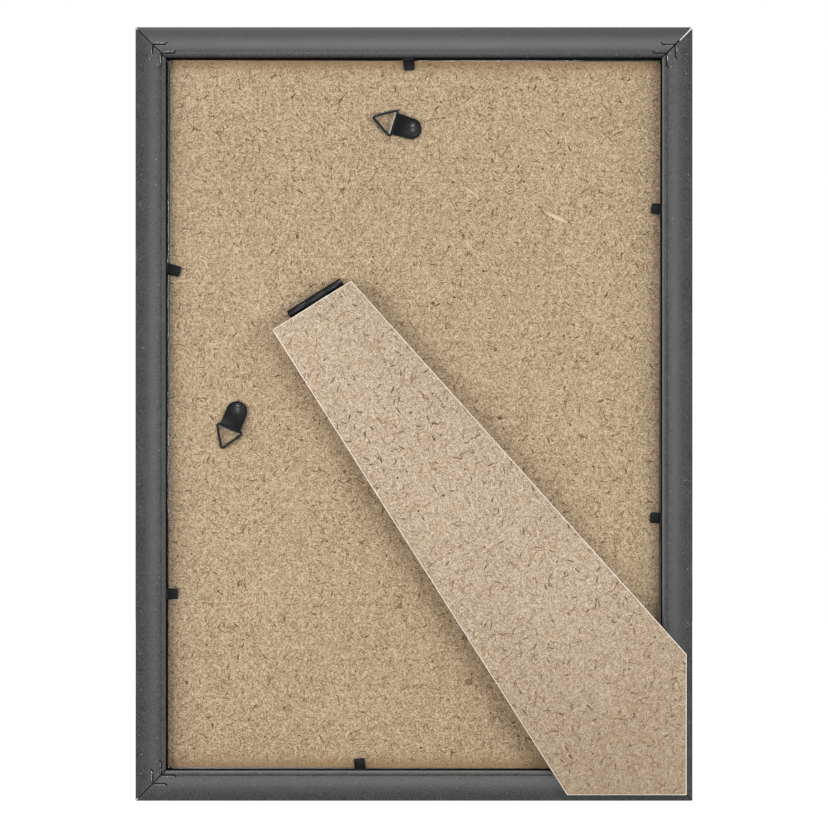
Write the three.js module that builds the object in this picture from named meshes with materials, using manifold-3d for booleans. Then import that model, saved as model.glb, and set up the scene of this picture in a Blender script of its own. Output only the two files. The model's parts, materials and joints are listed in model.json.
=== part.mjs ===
// A picture frame seen from its back, upright, with its easel strut folded flat.
// A mitred moulding holds the glass, a blank insert and a hardboard back, which carries
// two riveted hangers and the hinged strut. Flat steel tabs keep the back in.
// Millimetres and degrees. +Z is up, the picture faces -Y and the back faces +Y.
// Left and right are as seen from behind, so left is +X.
import * as THREE from 'three';
import { mergeVertices } from 'three/addons/utils/BufferGeometryUtils.js';
import Module from 'manifold-3d';

const wasm = await Module();
wasm.setup();

// Moulding
const openingWidth = 211;
const openingHeight = 303;
const backWidth = 12.8;
const lipWidth = 5;
const lipThickness = 5;
const sightEdge = 1.4;
const frontRound = 4;
const crownFall = 1;
const crownInset = 6.3;
const beadWidth = 2.2;
const beadRise = 0.35;
const beadFall = 0.25;
const mitreGap = 0.3;
const openMitreGap = 0.7;

// Glass, insert and hardboard back
const recessDepth = 4.2;
const boardThickness = 2.5;
const sheetThickness = 0.3;
const glassThickness = 2;
const seatGap = 0.3;
const glassGapSide = 0.5;
const glassGapTop = 0.7;
const sheetGapLeft = 1.9;
const sheetGapTop = 2.2;
const boardGapLeft = 1.2;
const boardGapRight = 1;
const boardGapTop = 1.2;
const boardGapBottom = 0.8;
const boardTurn = 0.2;

// V-nails across each mitre
const vNailArm = 5.2;
const vNailHook = 1.3;
const vNailThickness = 0.5;
const vNailDepth = 8;
const vNailSetback = 1.7;
const vNailSpacing = 3.7;
const vNailGap = 0.2;

// Tabs
const tabWidth = 4.8;
const tabTipWidth = 4.5;
const tabThickness = 0.5;
const tabRootLength = 5;
const tabCorner = 0.7;
const tabGap = 0.25;

// Hangers
const hangerInset = 30.4;
const topHangerShift = 0.4;
const leftHangerRise = 1.8;
const strapWidth = 9.2;
const strapSheet = 0.3;
const strapEndOffset = 1;
const strapEyeReach = 8.3;
const strapSlope = 4.4;
const strapRivetGap = 0.2;
const wireDiameter = 1.05;
const wireGap = 0.2;
const ringSideGap = 0.2;
const ringSlant = 31.5;
const ringBarBend = 1.9;
const ringTipBend = 1.6;
const hangerHeadDiameter = 5.7;
const hangerHeadHeight = 1.5;
const hangerShankDiameter = 2.6;
const hangerTailDiameter = 4;
const hangerTailThickness = 0.6;
const rivetGap = 0.2;

// Strut and its hinge
const hingeTilt = 32;
const hingeAcross = 41.9;
const hingeUp = 49.1;
const openAngle = 18;
const barrelDiameter = 3.8;
const barrelLength = 26.6;
const middleKnuckle = 9.4;
const knuckleGap = 0.2;
const pinDiameter = 1.6;
const pinGap = 0.2;
const pinEnd = 0.2;
const leafThickness = 0.8;
const leafLength = 15;
const leafRivetDown = 9.5;
const boardRivetSpread = 17;
const strutRivetSpread = 7;
const leafHeadDiameter = 3.6;
const leafHeadHeight = 0.5;
const leafShankDiameter = 1.8;
const stopLugWidth = 1;
const stopLugAngle = 50;
const strutThickness = 3;
const strutTopDown = 1.8;
const strutTopLeft = 22.5;
const strutTopRight = 16.8;
const strutFootInset = 2.8;
const strutFootWidth = 50.6;
const strutKneeRise = 59.7;
const strutRivetDepth = 2;

// Faceting
const curveSteps = 6;
const roundSteps = 20;
const boreSteps = 16;
const domeSteps = 4;
const wireSides = 8;
const wireSteps = 54;
const weldDistance = 1e-4;

// Sizes and depths that follow from these
const frameWidth = openingWidth + 2 * backWidth;
const frameHeight = openingHeight + 2 * backWidth;
const sightInset = backWidth + lipWidth;
const boardBack = -recessDepth;
const boardFront = boardBack - boardThickness;
const sheetBack = boardFront - seatGap;
const sheetFront = sheetBack - sheetThickness;
const glassBack = sheetFront - seatGap;
const glassFront = glassBack - glassThickness;
const rebateFloor = glassFront - seatGap;
const mouldingFront = rebateFloor - lipThickness;
const wireRadius = wireDiameter / 2;
const barrelRadius = barrelDiameter / 2;
const strutInner = barrelRadius + seatGap;
const hingeDepth = boardBack + seatGap + barrelRadius;
const quarterTurn = Math.PI / 2;
const radians = THREE.MathUtils.degToRad;

// Materials
const finish = (color, roughness, metalness) =>
  new THREE.MeshStandardMaterial({ color, roughness, metalness });
const greyMoulding = () => finish(0x626262, 0.6, 0);
const bareSteel = () => finish(0x8c8c89, 0.4, 1);
const blackSteel = () => finish(0x1d1d20, 0.35, 0.4);
const hardboard = () => finish(0xc4ab86, 0.85, 0);
const strutHardboard = () => finish(0xcbb696, 0.85, 0);
const blankPaper = () => finish(0xdedbd2, 0.8, 0);
const clearGlass = () => finish(0xd5e2df, 0.05, 0);

// Solids, cuts and joins
function solidOf(geometry) {
  const bare = geometry.clone();
  bare.deleteAttribute('normal');
  bare.deleteAttribute('uv');
  const merged = mergeVertices(bare, weldDistance);
  const corners = merged.index.array;
  const kept = [];
  for (let first = 0; first < corners.length; first += 3) {
    const triangle = [corners[first], corners[first + 1], corners[first + 2]];
    if (new Set(triangle).size === 3) {
      kept.push(...triangle);
    }
  }
  const vertProperties = new Float32Array(merged.attributes.position.array);
  const triVerts = new Uint32Array(kept);
  return new wasm.Manifold(new wasm.Mesh({ numProp: 3, vertProperties, triVerts }));
}

function geometryOf(solid) {
  const { vertProperties, triVerts } = solid.getMesh();
  const geometry = new THREE.BufferGeometry();
  geometry.setAttribute('position', new THREE.BufferAttribute(new Float32Array(vertProperties), 3));
  geometry.setIndex(new THREE.BufferAttribute(new Uint32Array(triVerts), 1));
  geometry.computeVertexNormals();
  return geometry;
}

function cut(geometry, cutters) {
  const whole = solidOf(geometry);
  return geometryOf(cutters.reduce((solid, cutter) => solid.subtract(solidOf(cutter)), whole));
}

function join(geometries) {
  return geometryOf(geometries.map(solidOf).reduce((solid, other) => solid.add(other)));
}

function common(first, second) {
  return geometryOf(solidOf(first).intersect(solidOf(second)));
}

function piece(name, geometry, material) {
  const mesh = new THREE.Mesh(geometryOf(solidOf(geometry)), material);
  mesh.name = name;
  return mesh;
}

function inPlaceOf(geometry, group) {
  group.updateMatrix();
  return geometry.clone().applyMatrix4(group.matrix);
}

// A flat plate with its outline in the XZ plane, between two depths along Y
function plate(outline, front, back) {
  const options = { depth: back - front, bevelEnabled: false, curveSegments: curveSteps };
  const geometry = new THREE.ExtrudeGeometry(outline, options);
  geometry.rotateX(quarterTurn);
  geometry.translate(0, back, 0);
  return geometry;
}

function outlineOf(points) {
  return new THREE.Shape(points.map(([across, up]) => new THREE.Vector2(across, up)));
}

function rectangle(left, right, bottom, top) {
  return outlineOf([[left, bottom], [right, bottom], [right, top], [left, top]]);
}

function block(left, right, front, back, bottom, top) {
  return plate(rectangle(left, right, bottom, top), front, back);
}

// A round bar along X, centred on the origin
function barAlongX(radius, length, steps) {
  const geometry = new THREE.CylinderGeometry(radius, radius, length, steps);
  geometry.rotateZ(quarterTurn);
  return geometry;
}

// Back of the moulding: a broad crown, a groove, then a bead at the inner edge
const grooveInset = backWidth - beadWidth;
const crownHeight = (inset) => -crownFall * ((inset - crownInset) / crownInset) ** 2;
const grooveHeight = crownHeight(grooveInset);
const beadEnd = grooveHeight - beadFall;
const beadPull = grooveHeight + 2 * beadRise;
const crownPull = crownFall * (grooveInset - crownInset) / crownInset;

function beadHeight(inset) {
  const share = (backWidth - inset) / beadWidth;
  const rest = 1 - share;
  return rest * rest * beadEnd + 2 * rest * share * beadPull + share * share * grooveHeight;
}

function backHeight(inset) {
  return inset < grooveInset ? crownHeight(inset) : beadHeight(inset);
}

function mouldingProfile() {
  const profile = new THREE.Shape();
  profile.moveTo(0, -crownFall);
  profile.lineTo(0, mouldingFront + frontRound);
  profile.quadraticCurveTo(0, mouldingFront, frontRound, mouldingFront);
  profile.quadraticCurveTo(backWidth, mouldingFront, sightInset, rebateFloor - sightEdge);
  profile.lineTo(sightInset, rebateFloor);
  profile.lineTo(backWidth, rebateFloor);
  profile.lineTo(backWidth, beadEnd);
  profile.quadraticCurveTo(backWidth - beadWidth / 2, beadPull, grooveInset, grooveHeight);
  profile.quadraticCurveTo(grooveInset / 2, crownPull, 0, -crownFall);
  return profile;
}

// One mitred rail along X with its outer face down, then turned to its side of the frame.
// The mitre opens from its inner end to its outer tip where its two gaps differ.
function railGeometry({ turn, span, across, tipGaps }) {
  const options = { depth: 1, bevelEnabled: false, curveSegments: curveSteps };
  const geometry = new THREE.ExtrudeGeometry(mouldingProfile(), options);
  const position = geometry.attributes.position;
  for (let index = 0; index < position.count; index += 1) {
    const inset = position.getX(index);
    const end = position.getZ(index) < 0.5 ? 1 : -1;
    const tipGap = end > 0 ? tipGaps[0] : tipGaps[1];
    const gap = THREE.MathUtils.lerp(tipGap, mitreGap, inset / sightInset);
    const along = end * (span / 2 - inset - gap / Math.SQRT2);
    position.setXYZ(index, along, position.getY(index), inset - across / 2);
  }
  geometry.rotateY(radians(turn));
  return geometry;
}

const rails = [
  { name: 'bottom', turn: 0, span: frameWidth, across: frameHeight, tipGaps: [mitreGap, mitreGap] },
  { name: 'right', turn: 90, span: frameHeight, across: frameWidth, tipGaps: [mitreGap, openMitreGap] },
  { name: 'top', turn: 180, span: frameWidth, across: frameHeight, tipGaps: [openMitreGap, mitreGap] },
  { name: 'left', turn: 270, span: frameHeight, across: frameWidth, tipGaps: [mitreGap, mitreGap] },
];

// A strip of one width along a bent line
function ribbon(points, width) {
  const line = points.map(([across, up]) => new THREE.Vector2(across, up));
  const sideOf = (from, to) => {
    const along = to.clone().sub(from).normalize();
    return new THREE.Vector2(-along.y, along.x);
  };
  const offsets = line.map((point, index) => {
    const last = line.length - 1;
    const before = sideOf(line[Math.max(index - 1, 0)], line[Math.max(index, 1)]);
    const after = sideOf(line[Math.min(index, last - 1)], line[Math.min(index + 1, last)]);
    const mitre = before.clone().add(after);
    return mitre.multiplyScalar(width / 2 / (1 + before.dot(after)));
  });
  const left = line.map((point, index) => point.clone().add(offsets[index]));
  const right = line.map((point, index) => point.clone().sub(offsets[index]));
  return new THREE.Shape([...right, ...left.reverse()]);
}

// A V-nail has its bend on the mitre, an arm along each rail and hooked ends.
// Spare is the room left round it in its slot.
function vNailGeometry(corner, row, spare) {
  const setback = vNailSetback + row * vNailSpacing;
  const hook = (vNailHook + spare) * Math.SQRT1_2;
  const line = [[vNailArm + hook, -hook], [vNailArm, 0], [0, 0], [0, vNailArm], [-hook, vNailArm + hook]];
  const top = backHeight(backWidth - setback) - vNailGap / 2;
  const roof = spare > 0 ? crownFall : top;
  const geometry = plate(ribbon(line, vNailThickness + 2 * spare), top - vNailDepth - spare, roof);
  geometry.rotateY(corner.turn * quarterTurn);
  const across = corner.across * (openingWidth / 2 + setback);
  const up = corner.up * (openingHeight / 2 + setback);
  geometry.translate(across, 0, up);
  return geometry;
}

const corners = [
  { name: 'bottom_right', turn: 0, across: -1, up: -1 },
  { name: 'top_right', turn: 1, across: -1, up: 1 },
  { name: 'top_left', turn: 2, across: 1, up: 1 },
  { name: 'bottom_left', turn: 3, across: 1, up: -1 },
];
const nailRows = ['inner', 'outer'];

// Tabs: each leaves the wall of the rebate just over the board, a little out of square
const tabs = [
  { name: 'top', across: 2.4, up: openingHeight / 2, turn: 95, reach: 5.4 },
  { name: 'right_upper', across: -openingWidth / 2, up: 87, turn: -6.5, reach: 4.6 },
  { name: 'right_lower', across: -openingWidth / 2, up: -44.4, turn: -4.5, reach: 5.1 },
  { name: 'left_upper', across: openingWidth / 2, up: 62, turn: 166, reach: 6.3 },
  { name: 'left_lower', across: openingWidth / 2, up: -76.5, turn: 180, reach: 5.1 },
  { name: 'bottom', across: 22.9, up: -openingHeight / 2, turn: -85, reach: 5 },
];
const tabFront = boardBack + seatGap;
const tabBack = tabFront + tabThickness;

function tabGroup({ across, up, turn }) {
  const group = new THREE.Group();
  group.position.set(across, 0, up);
  group.rotation.y = radians(turn);
  return group;
}

function tabRootGeometry(spare) {
  const half = tabWidth / 2 + spare;
  const mouth = spare > 0 ? tabRootLength : seatGap;
  const outline = rectangle(-tabRootLength - spare, mouth, -half, half);
  return plate(outline, tabFront - spare, tabBack + spare);
}

// The bending part, with the line it bends along at its own origin
function tabFlapGeometry({ reach }) {
  const length = reach - 2 * seatGap;
  const half = tabWidth / 2;
  const tip = tabTipWidth / 2;
  const outline = new THREE.Shape();
  outline.moveTo(0, -half);
  outline.lineTo(length - tabCorner, -tip);
  outline.quadraticCurveTo(length, -tip, length, tabCorner - tip);
  outline.lineTo(length, tip - tabCorner);
  outline.quadraticCurveTo(length, tip, length - tabCorner, tip);
  outline.lineTo(0, half);
  return plate(outline, -tabThickness, 0);
}

// A rivet along Y: a domed head over its seat, a shank, and a tail spread at the far end.
// Spare is the room left round it in its hole, which has no head.
function rivetGeometry({ head, dome, shank, tail, tailThickness }, seat, end, spare) {
  const tailRadius = tail / 2 + spare;
  const shankRadius = shank / 2 + spare;
  const low = end - 2 * spare;
  const shoulder = end + tailThickness + spare;
  const profile = [
    new THREE.Vector2(0, low),
    new THREE.Vector2(tailRadius, low),
    new THREE.Vector2(tailRadius, shoulder),
    new THREE.Vector2(shankRadius, shoulder),
    new THREE.Vector2(shankRadius, seat),
  ];
  if (spare === 0) {
    for (let step = 0; step < domeSteps; step += 1) {
      const angle = step * quarterTurn / domeSteps;
      profile.push(new THREE.Vector2(Math.cos(angle) * head / 2, seat + Math.sin(angle) * dome));
    }
  }
  profile.push(new THREE.Vector2(0, seat + dome));
  return new THREE.LatheGeometry(profile, roundSteps);
}

// Hangers: the strap lies along X from its rivet at the origin to the wire in its folded end
const strapFront = boardBack + seatGap;
const eyeRadius = wireRadius + wireGap + strapSheet;
const strapThickness = 2 * strapSheet;
const eyeDepth = strapFront + eyeRadius;
const hangerRivet = {
  head: hangerHeadDiameter,
  dome: hangerHeadHeight,
  shank: hangerShankDiameter,
  tail: hangerTailDiameter,
  tailThickness: hangerTailThickness,
};
const hangerSeat = strapFront + strapThickness + strapRivetGap;
const hangerTail = boardFront + rivetGap;
const hangers = [
  { name: 'hanger_top', across: topHangerShift, up: openingHeight / 2 - hangerInset, turn: -17 },
  { name: 'hanger_left', across: openingWidth / 2 - hangerInset, up: leftHangerRise, turn: 67.7 },
];

function hangerGroup({ across, up, turn }) {
  const group = new THREE.Group();
  group.position.set(across, 0, up);
  group.rotation.y = radians(turn);
  return group;
}

function strapGeometry() {
  const half = strapWidth / 2;
  const tailEnd = strapEndOffset - half;
  const side = new THREE.Shape();
  side.moveTo(tailEnd, 0);
  side.lineTo(strapEyeReach, 0);
  side.absarc(strapEyeReach, eyeRadius, eyeRadius, -quarterTurn, quarterTurn, false);
  side.lineTo(strapEyeReach - strapSlope, strapThickness);
  side.lineTo(tailEnd, strapThickness);
  const eye = new THREE.Path();
  eye.absarc(strapEyeReach, eyeRadius, wireRadius + wireGap, 0, 2 * Math.PI, true);
  side.holes.push(eye);
  const options = { depth: strapWidth, bevelEnabled: false, curveSegments: boreSteps };
  const folded = new THREE.ExtrudeGeometry(side, options);
  folded.translate(0, strapFront, -half);

  const outline = new THREE.Shape();
  outline.moveTo(strapEyeReach + 2 * eyeRadius, half);
  outline.lineTo(strapEndOffset, half);
  outline.absarc(strapEndOffset, 0, half, quarterTurn, 3 * quarterTurn, false);
  outline.lineTo(strapEyeReach + 2 * eyeRadius, -half);
  const roundEnd = plate(outline, strapFront - eyeRadius, strapFront + 3 * eyeRadius);
  return cut(common(folded, roundEnd), [rivetGeometry(hangerRivet, hangerSeat, hangerTail, rivetGap)]);
}

// The wire triangle, flat in XZ, with its straight bar along Z through the origin.
// Its slanting sides clear the corners of the strap.
const ringLean = radians(ringSlant);
const ringSide = wireRadius / Math.cos(ringLean) + eyeRadius * Math.tan(ringLean);
const ringHalfBar = strapWidth / 2 + ringSideGap + ringSide;
const ringReach = ringHalfBar / Math.tan(ringLean);

function ringPath() {
  const turns = [
    { at: new THREE.Vector2(0, ringHalfBar), bend: ringBarBend },
    { at: new THREE.Vector2(0, -ringHalfBar), bend: ringBarBend },
    { at: new THREE.Vector2(ringReach, 0), bend: ringTipBend },
  ];
  const path = new THREE.CurvePath();
  const towards = (from, to) => to.at.clone().sub(from.at).setLength(from.bend).add(from.at);
  turns.forEach((turn, index) => {
    const next = turns[(index + 1) % turns.length];
    const before = turns[(index + turns.length - 1) % turns.length];
    path.add(new THREE.QuadraticBezierCurve(towards(turn, before), turn.at, towards(turn, next)));
    path.add(new THREE.LineCurve(towards(turn, next), towards(next, turn)));
  });
  return path;
}

// A torus whose round centre line is laid along the triangle
function ringGeometry() {
  const path = ringPath();
  const geometry = new THREE.TorusGeometry(1, wireRadius, wireSides, wireSteps);
  const position = geometry.attributes.position;
  for (let index = 0; index < position.count; index += 1) {
    const x = position.getX(index);
    const y = position.getY(index);
    const turn = Math.atan2(y, x) / (2 * Math.PI);
    const share = (Math.round(turn * wireSteps) + wireSteps) % wireSteps / wireSteps;
    const outward = Math.hypot(x, y) - 1;
    const centre = path.getPointAt(share);
    const along = path.getTangentAt(share);
    position.setX(index, centre.x + along.y * outward);
    position.setY(index, centre.y - along.x * outward);
  }
  geometry.rotateX(-quarterTurn);
  return geometry;
}

// At rest the wire triangle leans in until its tip lies on the board
const ringTipDrop = eyeDepth - wireRadius - seatGap - boardBack;
const ringRestAngle = Math.asin(ringTipDrop / ringReach);

// Hinge: the origin is on the pin, X along it, and the leaves run down along -Z
const leafRivet = {
  head: leafHeadDiameter,
  dome: leafHeadHeight,
  shank: leafShankDiameter,
  tail: leafShankDiameter,
  tailThickness: leafThickness,
};
const boardLeafFront = -barrelRadius;
const boardLeafBack = boardLeafFront + leafThickness;
const strutLeafBack = barrelRadius;
const strutLeafFront = strutLeafBack - leafThickness;
const notchReach = barrelRadius + knuckleGap;
const bore = barAlongX(pinDiameter / 2 + pinGap, 2 * barrelLength, boreSteps);

// The notch that a knuckle of the other leaf turns in
function knuckleNotch(left, right) {
  return block(left, right, -2 * barrelRadius, 2 * barrelRadius, -notchReach, 2 * notchReach);
}

function leafRivets(spread) {
  return [-spread / 2, spread / 2].map((across) => ({ across, down: leafRivetDown }));
}

function boardRivetGeometry({ across, down }, spare) {
  const end = boardFront - hingeDepth + rivetGap;
  const geometry = rivetGeometry(leafRivet, boardLeafBack + rivetGap, end, spare);
  geometry.translate(across, 0, -down);
  return geometry;
}

// The strut's rivets have their heads towards the board and stop inside the strut
function strutRivetGeometry({ across, down }, spare) {
  const end = -strutInner - strutRivetDepth;
  const geometry = rivetGeometry(leafRivet, rivetGap - strutLeafFront, end, spare);
  geometry.rotateX(2 * quarterTurn);
  geometry.translate(across, 0, -down);
  return geometry;
}

const boardRivets = leafRivets(boardRivetSpread);
const strutRivets = leafRivets(strutRivetSpread);

function boardLeafGeometry() {
  const half = barrelLength / 2;
  const leaf = block(-half, half, boardLeafFront, boardLeafBack, -leafLength, 0);
  const notch = middleKnuckle / 2 + knuckleGap;
  return cut(join([leaf, barAlongX(barrelRadius, barrelLength, roundSteps)]), [
    bore,
    knuckleNotch(-notch, notch),
    ...boardRivets.map((rivet) => boardRivetGeometry(rivet, rivetGap)),
  ]);
}

// A lug on the strut's knuckle meets the board when the strut is open
function stopLugGeometry() {
  const slant = radians(stopLugAngle);
  const height = hingeDepth - boardBack - seatGap;
  const reach = (height - Math.sin(slant) * stopLugWidth / 2) / Math.cos(slant);
  const half = middleKnuckle / 2;
  const geometry = block(-half, half, -reach, -pinDiameter, -stopLugWidth / 2, stopLugWidth / 2);
  geometry.rotateX(-slant - radians(openAngle));
  return geometry;
}

function strutLeafGeometry() {
  const half = barrelLength / 2;
  const leaf = block(-half, half, strutLeafFront, strutLeafBack, -leafLength, 0);
  const knuckle = middleKnuckle / 2;
  const whole = join([leaf, barAlongX(barrelRadius, middleKnuckle, roundSteps), stopLugGeometry()]);
  return cut(whole, [
    bore,
    knuckleNotch(-barrelLength, -knuckle),
    knuckleNotch(knuckle, barrelLength),
    ...strutRivets.map((rivet) => strutRivetGeometry(rivet, rivetGap)),
  ]);
}

// A place on the back of the frame, as seen from the pin along it and up from it
function onStrut(across, up) {
  const place = new THREE.Vector2(across - hingeAcross, up - hingeUp);
  return place.rotateAround(new THREE.Vector2(), radians(hingeTilt)).toArray();
}

// The strut's foot is cut parallel to the frame's lower edge for standing upright, and to its
// right edge for standing landscape
function strutGeometry() {
  const heelAcross = strutFootInset - frameWidth / 2;
  const heelUp = strutFootInset - frameHeight / 2;
  const outline = outlineOf([
    [strutTopLeft, -strutTopDown],
    onStrut(heelAcross + strutFootWidth, heelUp),
    onStrut(heelAcross, heelUp),
    onStrut(heelAcross, heelUp + strutKneeRise),
    [-strutTopRight, -strutTopDown],
  ]);
  const holes = strutRivets.map((rivet) => strutRivetGeometry(rivet, rivetGap));
  return cut(plate(outline, strutInner, strutInner + strutThickness), holes);
}

// The upright frame about its centre, with the back of the moulding at Y zero
const frame = new THREE.Group();

const nailSlots = [];
for (const corner of corners) {
  nailRows.forEach((rowName, row) => {
    const nail = vNailGeometry(corner, row, 0);
    frame.add(piece(`v_nail_${corner.name}_${rowName}`, nail, bareSteel()));
    nailSlots.push(vNailGeometry(corner, row, vNailGap));
  });
}

const tabSlots = [];
for (const tab of tabs) {
  const group = tabGroup(tab);
  group.add(piece(`tab_root_${tab.name}`, tabRootGeometry(0), blackSteel()));
  const flap = piece(`tab_${tab.name}`, tabFlapGeometry(tab), blackSteel());
  flap.position.set(2 * seatGap, tabBack, 0);
  group.add(flap);
  frame.add(group);
  tabSlots.push(inPlaceOf(tabRootGeometry(tabGap), group));
}

for (const rail of rails) {
  const geometry = cut(railGeometry(rail), [...nailSlots, ...tabSlots]);
  frame.add(piece(`rail_${rail.name}`, geometry, greyMoulding()));
}

// What lies in the opening, between two depths and with a gap to each rail round it
function paneGeometry(gaps, front, back) {
  const left = openingWidth / 2 - gaps.left;
  const right = gaps.right - openingWidth / 2;
  const top = openingHeight / 2 - gaps.top;
  const bottom = gaps.bottom - openingHeight / 2;
  return block(right, left, front, back, bottom, top);
}

const glassGaps = { left: glassGapSide, right: glassGapSide, top: glassGapTop, bottom: seatGap };
frame.add(piece('glass', paneGeometry(glassGaps, glassFront, glassBack), clearGlass()));
const sheetGaps = { left: sheetGapLeft, right: seatGap, top: sheetGapTop, bottom: seatGap };
frame.add(piece('picture_sheet', paneGeometry(sheetGaps, sheetFront, sheetBack), blankPaper()));

const boardHoles = [];
for (const hanger of hangers) {
  const group = hangerGroup(hanger);
  group.add(piece(`${hanger.name}_strap`, strapGeometry(), blackSteel()));
  const rivet = rivetGeometry(hangerRivet, hangerSeat, hangerTail, 0);
  group.add(piece(`${hanger.name}_rivet`, rivet, blackSteel()));
  const ring = piece(`${hanger.name}_ring`, ringGeometry(), blackSteel());
  ring.position.set(strapEyeReach, eyeDepth, 0);
  ring.rotation.z = -ringRestAngle;
  group.add(ring);
  frame.add(group);
  boardHoles.push(inPlaceOf(rivetGeometry(hangerRivet, hangerSeat, hangerTail, rivetGap), group));
}

const hinge = new THREE.Group();
hinge.position.set(hingeAcross, hingeDepth, hingeUp);
hinge.rotation.y = radians(hingeTilt);
hinge.add(piece('hinge_board_leaf', boardLeafGeometry(), blackSteel()));
const pinLength = barrelLength + 2 * pinEnd;
hinge.add(piece('hinge_pin', barAlongX(pinDiameter / 2, pinLength, boreSteps), blackSteel()));
boardRivets.forEach((rivet, index) => {
  hinge.add(piece(`board_leaf_rivet_${index + 1}`, boardRivetGeometry(rivet, 0), blackSteel()));
  boardHoles.push(inPlaceOf(boardRivetGeometry(rivet, rivetGap), hinge));
});

hinge.add(piece('strut', strutGeometry(), strutHardboard()));
hinge.add(piece('hinge_strut_leaf', strutLeafGeometry(), blackSteel()));
strutRivets.forEach((rivet, index) => {
  hinge.add(piece(`strut_leaf_rivet_${index + 1}`, strutRivetGeometry(rivet, 0), blackSteel()));
});
frame.add(hinge);

// The back lies in the opening a little out of square
const boardGaps = { left: boardGapLeft, right: boardGapRight, top: boardGapTop, bottom: boardGapBottom };
const board = paneGeometry(boardGaps, boardFront, boardBack);
board.rotateY(-radians(boardTurn));
frame.add(piece('backing_board', cut(board, boardHoles), hardboard()));

// The origin is at the bottom centre of the frame's box
const pictureFrame = new THREE.Group();
pictureFrame.add(frame);
const box = new THREE.Box3().setFromObject(pictureFrame, true);
const middle = box.getCenter(new THREE.Vector3());
frame.position.set(-middle.x, -middle.y, -box.min.z);

export default pictureFrame;
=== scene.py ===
"""A picture frame seen from its back, dressed for a plain studio picture.

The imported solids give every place. The visible pieces are modelled again with finer edges in the
same places, and every surface gets a finish made of shader nodes. Sizes are in metres, and most
are written in millimetres times MM.
"""

import json
import logging
import math
from collections.abc import Callable, Sequence
from dataclasses import dataclass, field
from enum import Enum
from functools import partial
from itertools import pairwise
from typing import ClassVar

import bmesh
import bpy
from mathutils import Matrix, Vector


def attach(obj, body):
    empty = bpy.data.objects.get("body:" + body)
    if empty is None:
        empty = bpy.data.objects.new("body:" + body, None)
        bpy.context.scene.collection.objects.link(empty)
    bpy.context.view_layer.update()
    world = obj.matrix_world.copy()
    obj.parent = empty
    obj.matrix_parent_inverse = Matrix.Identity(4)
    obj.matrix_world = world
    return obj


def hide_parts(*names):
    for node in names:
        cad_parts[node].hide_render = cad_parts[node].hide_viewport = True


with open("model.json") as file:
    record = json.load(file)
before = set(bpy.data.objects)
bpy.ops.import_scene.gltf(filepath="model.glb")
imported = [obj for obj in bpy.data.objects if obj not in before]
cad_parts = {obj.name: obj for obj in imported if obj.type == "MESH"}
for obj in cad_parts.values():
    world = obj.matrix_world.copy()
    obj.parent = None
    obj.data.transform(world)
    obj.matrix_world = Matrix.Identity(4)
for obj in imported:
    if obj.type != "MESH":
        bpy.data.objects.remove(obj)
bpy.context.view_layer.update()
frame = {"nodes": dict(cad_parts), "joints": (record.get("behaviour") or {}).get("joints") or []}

log = logging.getLogger("picture_frame")
MM = 0.001
Colour = tuple[float, float, float]
Point = tuple[float, float]
Pair = tuple[float, float]


def quarter_turns(count: int) -> Matrix:
    """Give a turn about Y by this many quarters."""
    return Matrix.Rotation(count * math.pi / 2, 4, "Y")


class Side(Enum):
    """A side of the frame as seen from behind, with its quarter turns from the bottom."""

    BOTTOM = 0
    RIGHT = 1
    TOP = 2
    LEFT = 3

    @property
    def upright(self) -> bool:
        """Tell whether the rail of this side stands upright."""
        return self in (Side.LEFT, Side.RIGHT)

    @property
    def label(self) -> str:
        """Give the side's name as it is used in the names of pieces."""
        return self.name.lower()


class Corner(Enum):
    """A corner as seen from behind, with its quarter turns and its sides along X and Z."""

    BOTTOM_RIGHT = (0, -1, -1)
    TOP_RIGHT = (1, -1, 1)
    TOP_LEFT = (2, 1, 1)
    BOTTOM_LEFT = (3, 1, -1)

    @property
    def turn(self) -> Matrix:
        """Give the turn from the bottom right corner to this one."""
        return quarter_turns(self.value[0])

    def at(self, half_width: float, half_height: float) -> Vector:
        """Give the place of this corner of a rectangle about the origin."""
        return Vector((self.value[1] * half_width, 0, self.value[2] * half_height))


class Beam(Enum):
    """What a lamp does: light surfaces softly, leave highlights on them, or both."""

    BOTH = "both"
    SOFT = "soft"
    GLINT = "glint"


class Slot(Enum):
    """The record's material slots that modelled pieces use."""

    MOULDING = "moulding"
    HARDBOARD = "hardboard"
    STRUT = "strut_hardboard"
    BLACK_STEEL = "black_steel"


def axes_matrix(across: Vector, out: Vector, origin: Vector) -> Matrix:
    """Give the placing matrix of a piece from its own X and Y directions.

    Args:
        across: Direction of the piece's X.
        out: Direction of the piece's Y.
        origin: Place of the piece's origin.

    Returns:
        The matrix from the piece's own frame to the shared one.
    """
    turn = Matrix((across, out, across.cross(out))).transposed().to_4x4()
    return Matrix.Translation(origin) @ turn


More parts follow.
